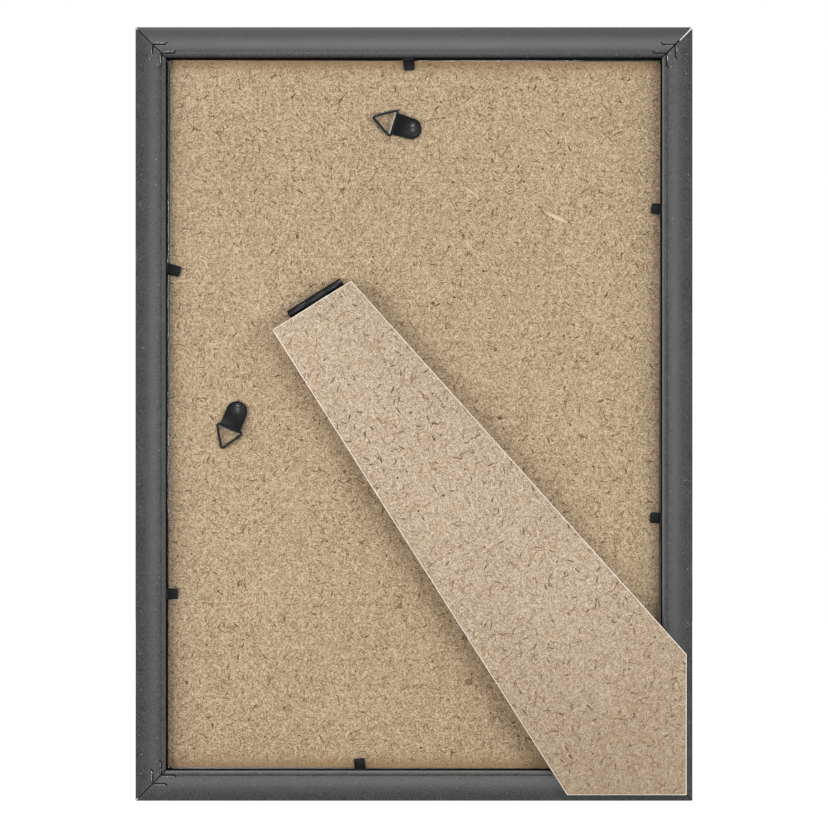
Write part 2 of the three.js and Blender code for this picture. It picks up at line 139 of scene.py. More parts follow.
@dataclass(frozen=True)
class Stance:
    """Where the frame and its moving pieces are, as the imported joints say."""

    joints: dict[str, dict]
    hanger_rise: float

    def place(self, joint: str) -> Vector:
        """Give a joint's place."""
        return Vector(self.joints[joint]["pos_m"])

    def axis(self, joint: str) -> Vector:
        """Give a joint's direction."""
        return Vector(self.joints[joint]["axis"]).normalized()

    @property
    def out(self) -> Vector:
        """Give the direction that the frame's back faces."""
        return self.axis("top_strap_swivel")

    @property
    def frame(self) -> Matrix:
        """Give the matrix of the frame about its centre, with the back's crown at Y 0."""
        rivet = self.place("top_strap_swivel")
        return Matrix.Translation((0, rivet.y, rivet.z - self.hanger_rise))

    def bent(self, joint: str) -> Matrix:
        """Give the matrix of a piece that turns on its own Z, with its Y facing back."""
        return axes_matrix(self.out.cross(self.axis(joint)), self.out, self.place(joint))

    def strap(self, swivel: str, swing: str) -> Matrix:
        """Give the matrix of a hanger, with its X from the rivet towards the wire."""
        reach = self.place(swing) - self.place(swivel)
        flat = reach - self.out * reach.dot(self.out)
        return axes_matrix(flat.normalized(), self.out, self.place(swivel))

    def hinge(self, joint: str) -> Matrix:
        """Give the matrix of the hinge, with its X along the pin."""
        return axes_matrix(self.axis(joint), self.out, self.place(joint))


def call(piece: bpy.types.Object, name: str) -> bpy.types.Object:
    """Name a piece and its mesh, and give the piece back."""
    piece.name = piece.data.name = name
    return piece


class Bench:
    """Short ways to model a piece with Blender's own operators."""

    @staticmethod
    def clear() -> None:
        """Leave edit mode and deselect everything."""
        if bpy.context.object and bpy.context.object.mode != "OBJECT":
            bpy.ops.object.mode_set(mode="OBJECT")
        bpy.ops.object.select_all(action="DESELECT")

    @staticmethod
    def choose(piece: bpy.types.Object) -> None:
        """Make a piece the only selected one."""
        Bench.clear()
        piece.select_set(True)
        bpy.context.view_layer.objects.active = piece

    @staticmethod
    def edit(piece: bpy.types.Object) -> None:
        """Start to edit all of a piece."""
        Bench.choose(piece)
        bpy.ops.object.mode_set(mode="EDIT")
        bpy.ops.mesh.select_all(action="SELECT")

    @staticmethod
    def trace(name: str, points: Sequence[Vector], fill: bool = True) -> bpy.types.Object:
        """Draw an outline by pulling one point along it, and leave it open for editing.

        Args:
            name: Name of the piece.
            points: Corners of the outline, in order.
            fill: Whether to fill the outline with a face, or only to close its line.

        Returns:
            The piece, in edit mode and all selected.
        """
        Bench.clear()
        bpy.ops.mesh.primitive_plane_add(size=MM)
        piece = call(bpy.context.object, name)
        Bench.edit(piece)
        bpy.ops.mesh.merge(type="CENTER")
        bpy.ops.transform.translate(value=points[0])
        for before, after in pairwise(points):
            bpy.ops.mesh.extrude_region_move(TRANSFORM_OT_translate={"value": after - before})
        if fill:
            bpy.ops.mesh.select_all(action="SELECT")
            bpy.ops.mesh.edge_face_add()
        else:
            shape = bmesh.from_edit_mesh(piece.data)
            shape.verts.ensure_lookup_table()
            for vert in shape.verts:
                vert.select_set(len(vert.link_edges) == 1)
            bmesh.update_edit_mesh(piece.data)
            bpy.ops.mesh.edge_face_add()
            bpy.ops.mesh.select_all(action="SELECT")
        return piece

    @staticmethod
    def extrude(step: Vector) -> None:
        """Pull the selected face into a solid and face it outwards."""
        bpy.ops.mesh.extrude_region_move(TRANSFORM_OT_translate={"value": step})
        bpy.ops.mesh.select_all(action="SELECT")
        bpy.ops.mesh.normals_make_consistent(inside=False)

    @staticmethod
    def slab(name: str, outline: Sequence[Point], front: float, back: float) -> bpy.types.Object:
        """Model a flat plate from its outline in X and Z, between two depths along Y.

        Args:
            name: Name of the piece.
            outline: Corners, in order.
            front: Lower depth.
            back: Upper depth.

        Returns:
            The piece, in object mode.
        """
        piece = Bench.trace(name, [Vector((x, front, z)) for x, z in outline])
        Bench.extrude(Vector((0, back - front, 0)))
        Bench.clear()
        return piece

    @staticmethod
    def modify(piece: bpy.types.Object, kind: str, **settings: object) -> None:
        """Add a modifier with these settings and apply it."""
        Bench.choose(piece)
        modifier = piece.modifiers.new(kind.lower(), kind)
        for key, value in settings.items():
            setattr(modifier, key, value)
        bpy.ops.object.modifier_apply(modifier=modifier.name)

    @staticmethod
    def carve(piece: bpy.types.Object, cutter: bpy.types.Object, operation: str) -> None:
        """Cut a piece with another, or keep only what they share, and remove the cutter."""
        Bench.modify(piece, "BOOLEAN", operation=operation, object=cutter, solver="EXACT")
        bpy.data.objects.remove(cutter)

    @staticmethod
    def soften(
        piece: bpy.types.Object, width: float, segments: int = 2, angle: float = 35
    ) -> None:
        """Round the sharp edges of a piece and shade it smooth between them.

        Args:
            piece: The piece.
            width: Width of the rounding.
            segments: Faces across the rounding.
            angle: Angle in degrees from which an edge counts as sharp.
        """
        limit = math.radians(angle)
        Bench.modify(
            piece, "BEVEL", width=width, segments=segments, limit_method="ANGLE", angle_limit=limit
        )
        Bench.smooth(piece, angle)

    @staticmethod
    def smooth(piece: bpy.types.Object, angle: float = 35) -> None:
        """Shade a piece smooth, apart from its sharp edges."""
        Bench.choose(piece)
        bpy.ops.object.shade_smooth_by_angle(angle=math.radians(angle))

    @staticmethod
    def copy(piece: bpy.types.Object, name: str) -> bpy.types.Object:
        """Copy a piece with a mesh of its own."""
        Bench.choose(piece)
        bpy.ops.object.duplicate()
        return call(bpy.context.object, name)

    @staticmethod
    def join(pieces: Sequence[bpy.types.Object]) -> bpy.types.Object:
        """Join pieces into the first one."""
        Bench.choose(pieces[0])
        for piece in pieces:
            piece.select_set(True)
        bpy.ops.object.join()
        return pieces[0]

    @staticmethod
    def settle(piece: bpy.types.Object, place: Matrix) -> None:
        """Put a piece in its place and leave that place in its mesh."""
        Bench.choose(piece)
        piece.matrix_world = place
        bpy.ops.object.transform_apply(location=True, rotation=True, scale=True)


def quadratic(start: Point, pull: Point, end: Point, steps: int) -> list[Point]:
    """Give points along a curve with one control point, without its start.

    Args:
        start: First point.
        pull: Control point.
        end: Last point.
        steps: Number of points.

    Returns:
        The points after the first.
    """
    points = []
    for step in range(1, steps + 1):
        share = step / steps
        rest = 1 - share
        points.append(
            tuple(
                rest * rest * a + 2 * rest * share * b + share * share * c
                for a, b, c in zip(start, pull, end)
            )
        )
    return points


def arc(centre: Point, radius: float, first: float, last: float, steps: int) -> list[Point]:
    """Give points along an arc, both ends included.

    Args:
        centre: Centre of the arc.
        radius: Its radius.
        first: First angle in degrees.
        last: Last angle in degrees.
        steps: Number of parts.

    Returns:
        The points.
    """
    angles = [math.radians(first + (last - first) * step / steps) for step in range(steps + 1)]
    return [(centre[0] + radius * math.cos(a), centre[1] + radius * math.sin(a)) for a in angles]


class Tree:
    """A shader node tree with short ways to add and join its nodes."""

    MIX_SHARE, MIX_FIRST, MIX_SECOND = 0, 6, 7
    MIX_RESULT = 2
    NOISE_ROUGHNESS = 0.6

    def __init__(self, nodes: bpy.types.NodeTree) -> None:
        """Work on a node tree."""
        self.tree = nodes

    def add(
        self, kind: str, inputs: dict[str | int, object] | None = None, **settings: object
    ) -> bpy.types.Node:
        """Add a node.

        Args:
            kind: Node type, without its ShaderNode start.
            inputs: Values or sockets for its inputs, by name or number.
            settings: Its own settings.

        Returns:
            The node.
        """
        node = self.tree.nodes.new("ShaderNode" + kind)
        for key, value in settings.items():
            setattr(node, key, value)
        for key, value in (inputs or {}).items():
            if isinstance(value, bpy.types.NodeSocket):
                self.tree.links.new(value, node.inputs[key])
            else:
                node.inputs[key].default_value = value
        return node

    def math(self, operation: str, *values: object) -> bpy.types.NodeSocket:
        """Add a sum of one or more values."""
        inputs = dict(enumerate(values))
        return self.add("Math", inputs, operation=operation).outputs[0]

    def vector(self, operation: str, first: object, second: object) -> bpy.types.NodeSocket:
        """Add a sum of two vectors, or of a vector and its scale."""
        inputs = {0: first, "Scale" if operation == "SCALE" else 1: second}
        return self.add("VectorMath", inputs, operation=operation).outputs[0]

    def blend(self, first: object, second: object, share: float) -> bpy.types.NodeSocket:
        """Add two values, with this share of the second."""
        rest = self.math("MULTIPLY", first, 1 - share)
        return self.math("MULTIPLY_ADD", second, share, rest)

    def mix(self, share: object, first: object, second: object) -> bpy.types.NodeSocket:
        """Mix two colours by a share from 0 to 1."""
        inputs = {
            self.MIX_SHARE: share,
            self.MIX_FIRST: self.colour(first),
            self.MIX_SECOND: self.colour(second),
        }
        return self.add("Mix", inputs, data_type="RGBA").outputs[self.MIX_RESULT]

    def ramp(
        self, value: object, low: float, high: float, start: float = 0, end: float = 1
    ) -> bpy.types.NodeSocket:
        """Spread a value with soft ends.

        Args:
            value: The value.
            low: Value that becomes start.
            high: Value that becomes end.
            start: Result at low.
            end: Result at high.

        Returns:
            The result.
        """
        inputs = {"Value": value, 1: low, 2: high, 3: start, 4: end}
        return self.add("MapRange", inputs, interpolation_type="SMOOTHSTEP").outputs["Result"]

    def noise(self, vector: object, size: float, detail: float = 3) -> bpy.types.NodeSocket:
        """Add cloudy noise of about this size, from 0 to 1."""
        inputs = {
            "Vector": vector,
            "Scale": 1 / size,
            "Detail": detail,
            "Roughness": self.NOISE_ROUGHNESS,
        }
        return self.add("TexNoise", inputs).outputs["Fac"]

    def bump(self, height: object, strength: float, distance: float) -> bpy.types.NodeSocket:
        """Add a bump and give its normal."""
        inputs = {"Height": height, "Strength": strength, "Distance": distance}
        return self.add("Bump", inputs).outputs["Normal"]

    def flat(self, place: Matrix) -> bpy.types.NodeSocket:
        """Give a piece's own coordinates in millimetres, with its X and Z as the first two."""
        home = place.inverted()
        inputs = {
            "Vector": self.add("TexCoord").outputs["Object"],
            "Location": home.translation / MM,
            "Rotation": home.to_euler("XYZ"),
            "Scale": (1 / MM,) * 3,
        }
        parts = self.axes(self.add("Mapping", inputs).outputs[0])
        order = {0: parts[0], 1: parts[2], 2: parts[1]}
        return self.add("CombineXYZ", order).outputs[0]

    def solid(self) -> bpy.types.NodeSocket:
        """Give the shared coordinates in millimetres."""
        inputs = {"Vector": self.add("TexCoord").outputs["Object"], "Scale": (1 / MM,) * 3}
        return self.add("Mapping", inputs).outputs[0]

    @staticmethod
    def colour(value: object) -> object:
        """Give a colour its alpha, and leave a socket as it is."""
        return value if isinstance(value, bpy.types.NodeSocket) else (*value, 1)

    def axes(self, vector: object) -> Sequence[bpy.types.NodeSocket]:
        """Give the three parts of a vector."""
        return self.add("SeparateXYZ", {0: vector}).outputs

    def length(self, vector: object) -> bpy.types.NodeSocket:
        """Give the length of a vector."""
        return self.add("VectorMath", {0: vector}, operation="LENGTH").outputs["Value"]


class Patterns:
    """Node groups that several finishes share, each made once."""

    STRAND_VALUES = ("Cell", "Length", "Slender", "Cover", "Curl", "Seed")
    SEED_SKEW = 1.7
    WAVE_SCALE = 1.3
    SOLID_PART = 0.55

    @staticmethod
    def start(name: str, inputs: Sequence[str], outputs: Sequence[str]) -> Tree:
        """Start a group that has a vector, these values in and these values out.

        Args:
            name: Name of the group.
            inputs: Names of its values.
            outputs: Names of what it gives.

        Returns:
            The group's tree.
        """
        group = bpy.data.node_groups.new(name, "ShaderNodeTree")
        group.interface.new_socket("Vector", in_out="INPUT", socket_type="NodeSocketVector")
        for label in inputs:
            group.interface.new_socket(label, in_out="INPUT", socket_type="NodeSocketFloat")
        for label in outputs:
            group.interface.new_socket(label, in_out="OUTPUT", socket_type="NodeSocketFloat")
        return Tree(group)

    @staticmethod
    def fibres() -> bpy.types.NodeTree:
        """Make the group that scatters slender strands, one to a cell, each turned its own way.

        Returns:
            The group, made at the first call.
        """
        name = "strands"
        if name in bpy.data.node_groups:
            return bpy.data.node_groups[name]
        tree = Patterns.start(name, Patterns.STRAND_VALUES, ("Mask", "Tone"))
        given = tree.tree.nodes.new("NodeGroupInput").outputs
        scaled = tree.vector("SCALE", given["Vector"], tree.math("DIVIDE", 1.0, given["Cell"]))
        aside = tree.math("MULTIPLY", given["Seed"], Patterns.SEED_SKEW)
        shift = tree.add("CombineXYZ", {0: given["Seed"], 1: aside}).outputs[0]
        moved = tree.vector("ADD", scaled, shift)
        waves = {"Vector": moved, "Scale": Patterns.WAVE_SCALE, "Detail": 1.0}
        wave = tree.add("TexNoise", waves).outputs["Color"]
        pull = tree.vector("SCALE", tree.vector("SUBTRACT", wave, (0.5,) * 3), given["Curl"])
        bent = tree.vector("ADD", moved, pull)
        spots = {"Vector": bent, "Scale": 1.0}
        cells = tree.add("TexVoronoi", spots, voronoi_dimensions="2D").outputs
        chance = tree.add("SeparateColor", {0: cells["Color"]}).outputs
        offset = tree.vector("SUBTRACT", bent, cells["Position"])
        angle = tree.math("MULTIPLY", chance[0], 2 * math.pi)
        spin = {"Vector": offset, "Angle": angle}
        turned = tree.add("VectorRotate", spin, rotation_type="Z_AXIS").outputs[0]
        stretched = tree.add("CombineXYZ", {0: 1.0, 1: given["Slender"]}).outputs[0]
        narrow = tree.vector("MULTIPLY", turned, stretched)
        reach = tree.math("DIVIDE", tree.length(narrow), given["Length"])
        mask = tree.ramp(reach, 1.0, Patterns.SOLID_PART)
        kept = tree.math("LESS_THAN", chance[1], given["Cover"])
        result = tree.tree.nodes.new("NodeGroupOutput").inputs
        tree.tree.links.new(tree.math("MULTIPLY", mask, kept), result["Mask"])
        tree.tree.links.new(chance[2], result["Tone"])
        return tree.tree


@dataclass(frozen=True)
class Strands:
    """One layer of fibres, specks or scratches on a surface."""

    LEAST_TONE: ClassVar[float] = 0.4

    colour: Colour
    cell: float
    length: float
    slender: float
    cover: float
    strength: float
    curl: float = 0.3
    seed: float = 0.0
    lift: float = 0.0

    def lay(
        self, tree: Tree, vector: object, under: object, height: object
    ) -> tuple[bpy.types.NodeSocket, object]:
        """Lay the strands over a colour and a height.

        Args:
            tree: Material's node tree.
            vector: Coordinates in millimetres.
            under: Colour so far.
            height: Height so far.

        Returns:
            The new colour and height.
        """
        node = tree.tree.nodes.new("ShaderNodeGroup")
        node.node_tree = Patterns.fibres()
        tree.tree.links.new(vector, node.inputs["Vector"])
        values = (self.cell, self.length, self.slender, self.cover, self.curl, self.seed)
        for label, value in zip(Patterns.STRAND_VALUES, values):
            node.inputs[label].default_value = value
        mask = node.outputs["Mask"]
        tone = tree.math(
            "MULTIPLY_ADD", node.outputs["Tone"], 1 - self.LEAST_TONE, self.LEAST_TONE
        )
        share = tree.math("MULTIPLY", tree.math("MULTIPLY", mask, tone), self.strength)
        raised = tree.math("MULTIPLY_ADD", mask, self.lift, height) if self.lift else height
        return tree.mix(share, under, self.colour), raised


@dataclass(frozen=True)
class Knot:
    """One dark knot or pale splinter at a place of its own, in millimetres."""

    FRAY_SIZE: ClassVar[float] = 0.8
    CLEAR: ClassVar[float] = 1.5
    FULL: ClassVar[float] = 1.05
    THROUGH: ClassVar[float] = 1000.0

    across: float
    up: float
    length: float
    slender: float
    turn: float
    colour: Colour
    strength: float = 0.85

    def lay(self, tree: Tree, vector: object, under: object) -> bpy.types.NodeSocket:
        """Lay the knot over a colour.

        Args:
            tree: Material's node tree.
            vector: Coordinates in millimetres.
            under: Colour so far.

        Returns:
            The new colour.
        """
        inputs = {
            "Vector": vector,
            "Location": (self.across, self.up, 0),
            "Rotation": (0, 0, math.radians(self.turn)),
            "Scale": (self.length / 2, self.length / 2 / self.slender, self.THROUGH),
        }
        local = tree.add("Mapping", inputs, vector_type="TEXTURE").outputs[0]
        ragged = tree.math("ADD", tree.length(local), tree.noise(vector, self.FRAY_SIZE, 2))
        share = tree.ramp(ragged, self.CLEAR, self.FULL, 0.0, self.strength)
        return tree.mix(share, under, self.colour)


class Finish:
    """A material made of nodes round one main shader."""

    @staticmethod
    def socket(key: str) -> str:
        """Give the name of the shader's socket from a word with _ for spaces."""
        return key.replace("_", " ").title().replace("Ior", "IOR")

    @staticmethod
    def start(name: str, **values: object) -> tuple[bpy.types.Material, Tree, bpy.types.Node]:
        """Make a material and set the plain values of its shader.

        Args:
            name: Name of the material.
            values: Values of the shader's sockets, with _ for spaces.

        Returns:
            The material, its tree and its shader.
        """
        material = bpy.data.materials.new(name)
        material.use_nodes = True
        shader = material.node_tree.nodes["Principled BSDF"]
        for key, value in values.items():
            shader.inputs[Finish.socket(key)].default_value = value
        return material, Tree(material.node_tree), shader

    @staticmethod
    def feed(tree: Tree, shader: bpy.types.Node, **sockets: object) -> None:
        """Join sockets to the shader's inputs, with _ for spaces."""
        for key, socket in sockets.items():
            tree.tree.links.new(socket, shader.inputs[Finish.socket(key)])


@dataclass(frozen=True)
class WornEnd:
    """How a board darkens towards its lower end, in millimetres along it."""

    start: float
    full: float
    share: float

    def lay(self, tree: Tree, up: object, under: object, dark: Colour) -> bpy.types.NodeSocket:
        """Lay the darkening over a colour.

        Args:
            tree: Material's node tree.
            up: Place along the board.
            under: Colour so far.
            dark: Colour that the lower end darkens towards.

        Returns:
            The new colour.
        """
        return tree.mix(tree.ramp(up, self.start, self.full, 0.0, self.share), under, dark)


@dataclass(frozen=True)
class Rim:
    """A band of painted shade along a board's top and bottom edges, where the rails shade it, in
    millimetres.
    """

    RAGGED: ClassVar[float] = 0.8
    FULL: ClassVar[float] = 0.4

    half_height: float
    depth: float
    share: float
    colour: Colour

    def lay(self, tree: Tree, up: object, flake: object, under: object) -> bpy.types.NodeSocket:
        """Lay the band of painted shade over a colour.

        Args:
            tree: Material's node tree.
            up: Place along the board.
            flake: Noise that makes the band ragged.
            under: Colour so far.

        Returns:
            The new colour.
        """
        # Painted shade: the board darkens towards this brown near its top and bottom edges, under
        # the rails.
        past = tree.math("SUBTRACT", tree.math("ABSOLUTE", up), self.half_height)
        near = tree.math("MULTIPLY_ADD", flake, self.depth * self.RAGGED, past)
        painted_shade = tree.ramp(near, -self.depth, self.depth * self.FULL, 0.0, self.share)
        return tree.mix(painted_shade, under, self.colour)


@dataclass(frozen=True)
class Hardboard(Finish):
    """Bare pressed fibre board, seen on its flat face."""

    pale: Colour
    deep: Colour
    layers: tuple[Strands, ...]
    knots: tuple[Knot, ...]
    worn: WornEnd | None = None
    # Painted shade along the board's top and bottom edges.
    rim: Rim | None = None
    roughness: float = 0.85
    gloss: float = 0.2
    broad_size: float = 30.0
    flake_size: float = 1.8
    grain_size: float = 0.5
    flake_share: float = 0.14
    broad_share: float = 0.07
    contrast: Pair = (0.28, 0.7)
    relief: Pair = (0.35, 0.2 * MM)

    def material(self, name: str, place: Matrix) -> bpy.types.Material:
        """Make the material, with painted shade along the board's top and bottom edges and its
        lower end darker.

        Args:
            name: Its name.
            place: Place of the board.

        Returns:
            The material.
        """
        made, tree, shader = self.start(
            name, roughness=self.roughness, specular_ior_level=self.gloss
        )
        vector = tree.flat(place)
        broad = tree.noise(vector, self.broad_size, 4)
        flake = tree.noise(vector, self.flake_size, 3)
        grain = tree.noise(vector, self.grain_size, 2)
        tone = tree.blend(tree.blend(grain, flake, self.flake_share), broad, self.broad_share)
        colour = tree.mix(tree.ramp(tone, *self.contrast), self.deep, self.pale)
        height = tree.math("ADD", flake, grain)
        for layer in self.layers:
            colour, height = layer.lay(tree, vector, colour, height)
        for knot in self.knots:
            colour = knot.lay(tree, vector, colour)
        up = tree.axes(vector)[1]
        if self.worn:
            colour = self.worn.lay(tree, up, colour, self.deep)
        # Painted shade along the top and bottom edges, where the rails shade the board.
        if self.rim:
            colour = self.rim.lay(tree, up, flake, colour)
        self.feed(tree, shader, base_color=colour, normal=tree.bump(height, *self.relief))
        return made


@dataclass(frozen=True)
class CutEdge(Finish):
    """The sawn edge of pressed fibre board, in thin layers."""

    base: Colour
    deep: Colour
    roughness: float = 0.9
    gloss: float = 0.15
    layering: float = 6.0
    flake_size: float = 1.4
    contrast: Pair = (0.35, 0.7)
    relief: Pair = (0.4, 0.2 * MM)

    def material(self, name: str, place: Matrix) -> bpy.types.Material:
        """Make the material.

        Args:
            name: Its name.
            place: Place of the board.

        Returns:
            The material.
        """
        made, tree, shader = self.start(
            name, roughness=self.roughness, specular_ior_level=self.gloss
        )
        parts = tree.axes(tree.flat(place))
        layered = {0: parts[0], 1: parts[1], 2: tree.math("MULTIPLY", parts[2], self.layering)}
        flaky = tree.noise(tree.add("CombineXYZ", layered).outputs[0], self.flake_size, 4)
        colour = tree.mix(tree.ramp(flaky, *self.contrast), self.base, self.deep)
        self.feed(tree, shader, base_color=colour, normal=tree.bump(flaky, *self.relief))
        return made


@dataclass(frozen=True)
class Wear:
    """How light is painted on a rail's foil: a tone that makes it lighter or darker for the light
    its side gets, a painted highlight along its crown and one along its inner edge.
    """

    # A tone for the light the rail's side gets, and the strengths of the painted highlights along
    # the crown and the inner edge.
    tone: float = 1.0
    crown: float = 0.0
    rub: float = 0.0


@dataclass(frozen=True)
class Foil(Finish):
    """Matte grey foil over the moulding, with fine mottling, specks and scratches, and painted
    highlights along a rail's crown and inner edge.
    """

    pale: Colour
    deep: Colour
    layers: tuple[Strands, ...]
    # Colour of the painted highlight along the crown.
    worn: Colour = (0.125, 0.125, 0.1255)
    # Colour of the painted highlight along the inner edge.
    rubbed: Colour = (0.17, 0.17, 0.168)
    roughness: Pair = (0.37, 0.51)
    gloss: float = 0.3
    cloud_size: float = 7.0
    grain_size: float = 0.5
    cloud_share: float = 0.16
    contrast: Pair = (0.34, 0.66)
    uneven: Pair = (0.3, 0.7)
    # Where the painted crown highlight is centred and how far it spreads, in millimetres.
    crown_inset: float = 6.5
    crown_spread: float = 5.5
    # Where the painted highlight along the inner edge starts and is full, in millimetres in from
    # the edge.
    rub_start: float = 0.9
    rub_full: float = 0.3
    relief: Pair = (0.25, 0.08 * MM)

    def material(self, name: str, place: Matrix, edge: float, wear: Wear) -> bpy.types.Material:
        """Make the material for a rail, with its painted light.

        Args:
            name: Its name.
            place: Place of the rail.
            edge: Where its inner edge is along its own Z, in millimetres.
            wear: Its tone for the light its side gets, and the strengths of its painted
                highlights.

        Returns:
            The material.
        """
        made, tree, shader = self.start(name, specular_ior_level=self.gloss)
        vector = tree.flat(place)
        cloud = tree.noise(vector, self.cloud_size, 4)
        grain = tree.noise(vector, self.grain_size, 2)
        mottle = tree.blend(grain, cloud, self.cloud_share)
        # Painted light: the rail's colours are scaled by a tone for the light its side gets.
        tints = (self.pale, self.deep, self.worn)
        pale, deep, worn = (tuple(part * wear.tone for part in tint) for tint in tints)
        colour = tree.mix(tree.ramp(mottle, *self.contrast), deep, pale)
        height = grain
        for layer in self.layers:
            colour, height = layer.lay(tree, vector, colour, height)
        up = tree.axes(vector)[1]
        # Painted highlight along the crown, in place of a sheen from the front.
        off_crown = tree.math("ABSOLUTE", tree.math("SUBTRACT", up, edge - self.crown_inset))
        crown = tree.ramp(off_crown, self.crown_spread, 0.0, 0, wear.crown)
        # Painted highlight along the inner edge of the bead.
        rub = tree.ramp(up, edge - self.rub_start, edge - self.rub_full, 0, wear.rub)
        colour = tree.mix(rub, tree.mix(crown, colour, worn), self.rubbed)
        rough = tree.ramp(mottle, *self.uneven, *self.roughness)
        normal = tree.bump(height, *self.relief)
        self.feed(tree, shader, base_color=colour, roughness=rough, normal=normal)
        return made


@dataclass(frozen=True)
class Metal(Finish):
    """Painted or plain steel with a fine uneven skin and light rubbing, and on a strap a painted
    highlight along its fold.
    """

    CLOUD_SIZE: ClassVar[float] = 2.6
    ROUGHER: ClassVar[float] = 0.1
    SMOOTHER: ClassVar[float] = 0.06
    FOLD_START: ClassVar[float] = -0.15
    FOLD_FULL: ClassVar[float] = 0.1

    base: Colour
    rubbed: Colour
    roughness: float
    metallic: float = 0.0
    gloss: float = 0.3
    grain: float = 0.35
    # Colour of the painted highlight along a strap's fold.
    bare: Colour = (0.6, 0.6, 0.59)
    fold: float = 8.9
    relief: Pair = (0.12, 0.05 * MM)

    def material(
        self, name: str, place: Matrix | None = None, wear: float = 0.0
    ) -> bpy.types.Material:
        """Make the material.

        Args:
            name: Its name.
            place: Place of a folded strap, where a painted highlight runs along the fold.
            wear: Strength of the painted highlight along the fold.

        Returns:
            The material.
        """
        made, tree, shader = self.start(
            name, metallic=self.metallic, specular_ior_level=self.gloss
        )
        vector = tree.solid()
        cloud = tree.noise(vector, self.CLOUD_SIZE, 4)
        grain = tree.noise(vector, self.grain, 2)
        colour = tree.mix(tree.ramp(cloud, 0.5, 0.75, 0, 0.6), self.base, self.rubbed)
        colour = tree.mix(tree.ramp(grain, 0.6, 0.8, 0, 0.4), colour, self.rubbed)
        # Painted highlight: a pale broken line along the strap's fold, standing in for a glint
        # there.
        if place:
            along = tree.axes(tree.flat(place))[0]
            first, last = self.fold + self.FOLD_START, self.fold + self.FOLD_FULL
            line = tree.ramp(along, first, last, 0, wear)
            glint_share = tree.math("MULTIPLY", line, tree.ramp(cloud, 0.25, 0.5, 0.3, 1.0))
            colour = tree.mix(glint_share, colour, self.bare)
        low, high = self.roughness - self.SMOOTHER, self.roughness + self.ROUGHER
        rough = tree.ramp(cloud, 0.3, 0.7, low, high)
        normal = tree.bump(grain, *self.relief)
        self.feed(tree, shader, base_color=colour, roughness=rough, normal=normal)
        return made


@dataclass(frozen=True)
class ClearGlass(Finish):
    """Flat clear glass with a faint smeared film."""

    tint: Colour = (0.95, 0.985, 0.97)
    ior: float = 1.5
    film_size: float = 24.0
    film_paleness: float = 0.3
    roughness: Pair = (0.01, 0.07)

    def material(self, name: str) -> bpy.types.Material:
        """Make the material."""
        made, tree, shader = self.start(name, transmission_weight=1.0, ior=self.ior)
        film = tree.noise(tree.solid(), self.film_size, 4)
        paler = tree.ramp(film, 0.3, 0.7, 0, self.film_paleness)
        colour = tree.mix(paler, self.tint, (1, 1, 1))
        rough = tree.ramp(film, 0.45, 0.8, *self.roughness)
        self.feed(tree, shader, base_color=colour, roughness=rough)
        return made


@dataclass(frozen=True)
class Paper(Finish):
    """A blank uncoated sheet."""

    base: Colour = (0.74, 0.73, 0.69)
    deep: Colour = (0.66, 0.645, 0.6)
    pulp: float = 1.1
    roughness: float = 0.9
    gloss: float = 0.2
    contrast: Pair = (0.42, 0.6)
    strands: Strands = Strands((0.8, 0.79, 0.76), 3, 0.45, 14, 0.6, 0.4, 0.8)
    relief: Pair = (0.15, 0.1 * MM)

    def material(self, name: str, place: Matrix) -> bpy.types.Material:
        """Make the material.

        Args:
            name: Its name.
            place: Place of the sheet.

        Returns:
            The material.
        """
        made, tree, shader = self.start(
            name, roughness=self.roughness, specular_ior_level=self.gloss
        )
        vector = tree.flat(place)
        pulp = tree.noise(vector, self.pulp, 5)
        colour = tree.mix(tree.ramp(pulp, *self.contrast), self.base, self.deep)
        colour, height = self.strands.lay(tree, vector, colour, pulp)
        self.feed(tree, shader, base_color=colour, normal=tree.bump(height, *self.relief))
        return made


@dataclass
class Piece:
    """A finished piece, with the solids it stands for, its body and its slot."""

    shape: bpy.types.Object
    body: str
    slot: Slot
    nodes: tuple[str, ...]

    def hand_over(self) -> None:
        """Make the piece ride on its body in place of its solids."""
        if self.nodes:
            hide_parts(*self.nodes)
        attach(self.shape, self.body)
        log.info("%s on %s, %d faces", self.shape.name, self.body, len(self.shape.data.polygons))


def dress(piece: bpy.types.Object, *materials: bpy.types.Material) -> None:
    """Give a piece its materials, in order."""
    piece.data.materials.clear()
    for material in materials:
        piece.data.materials.append(material)


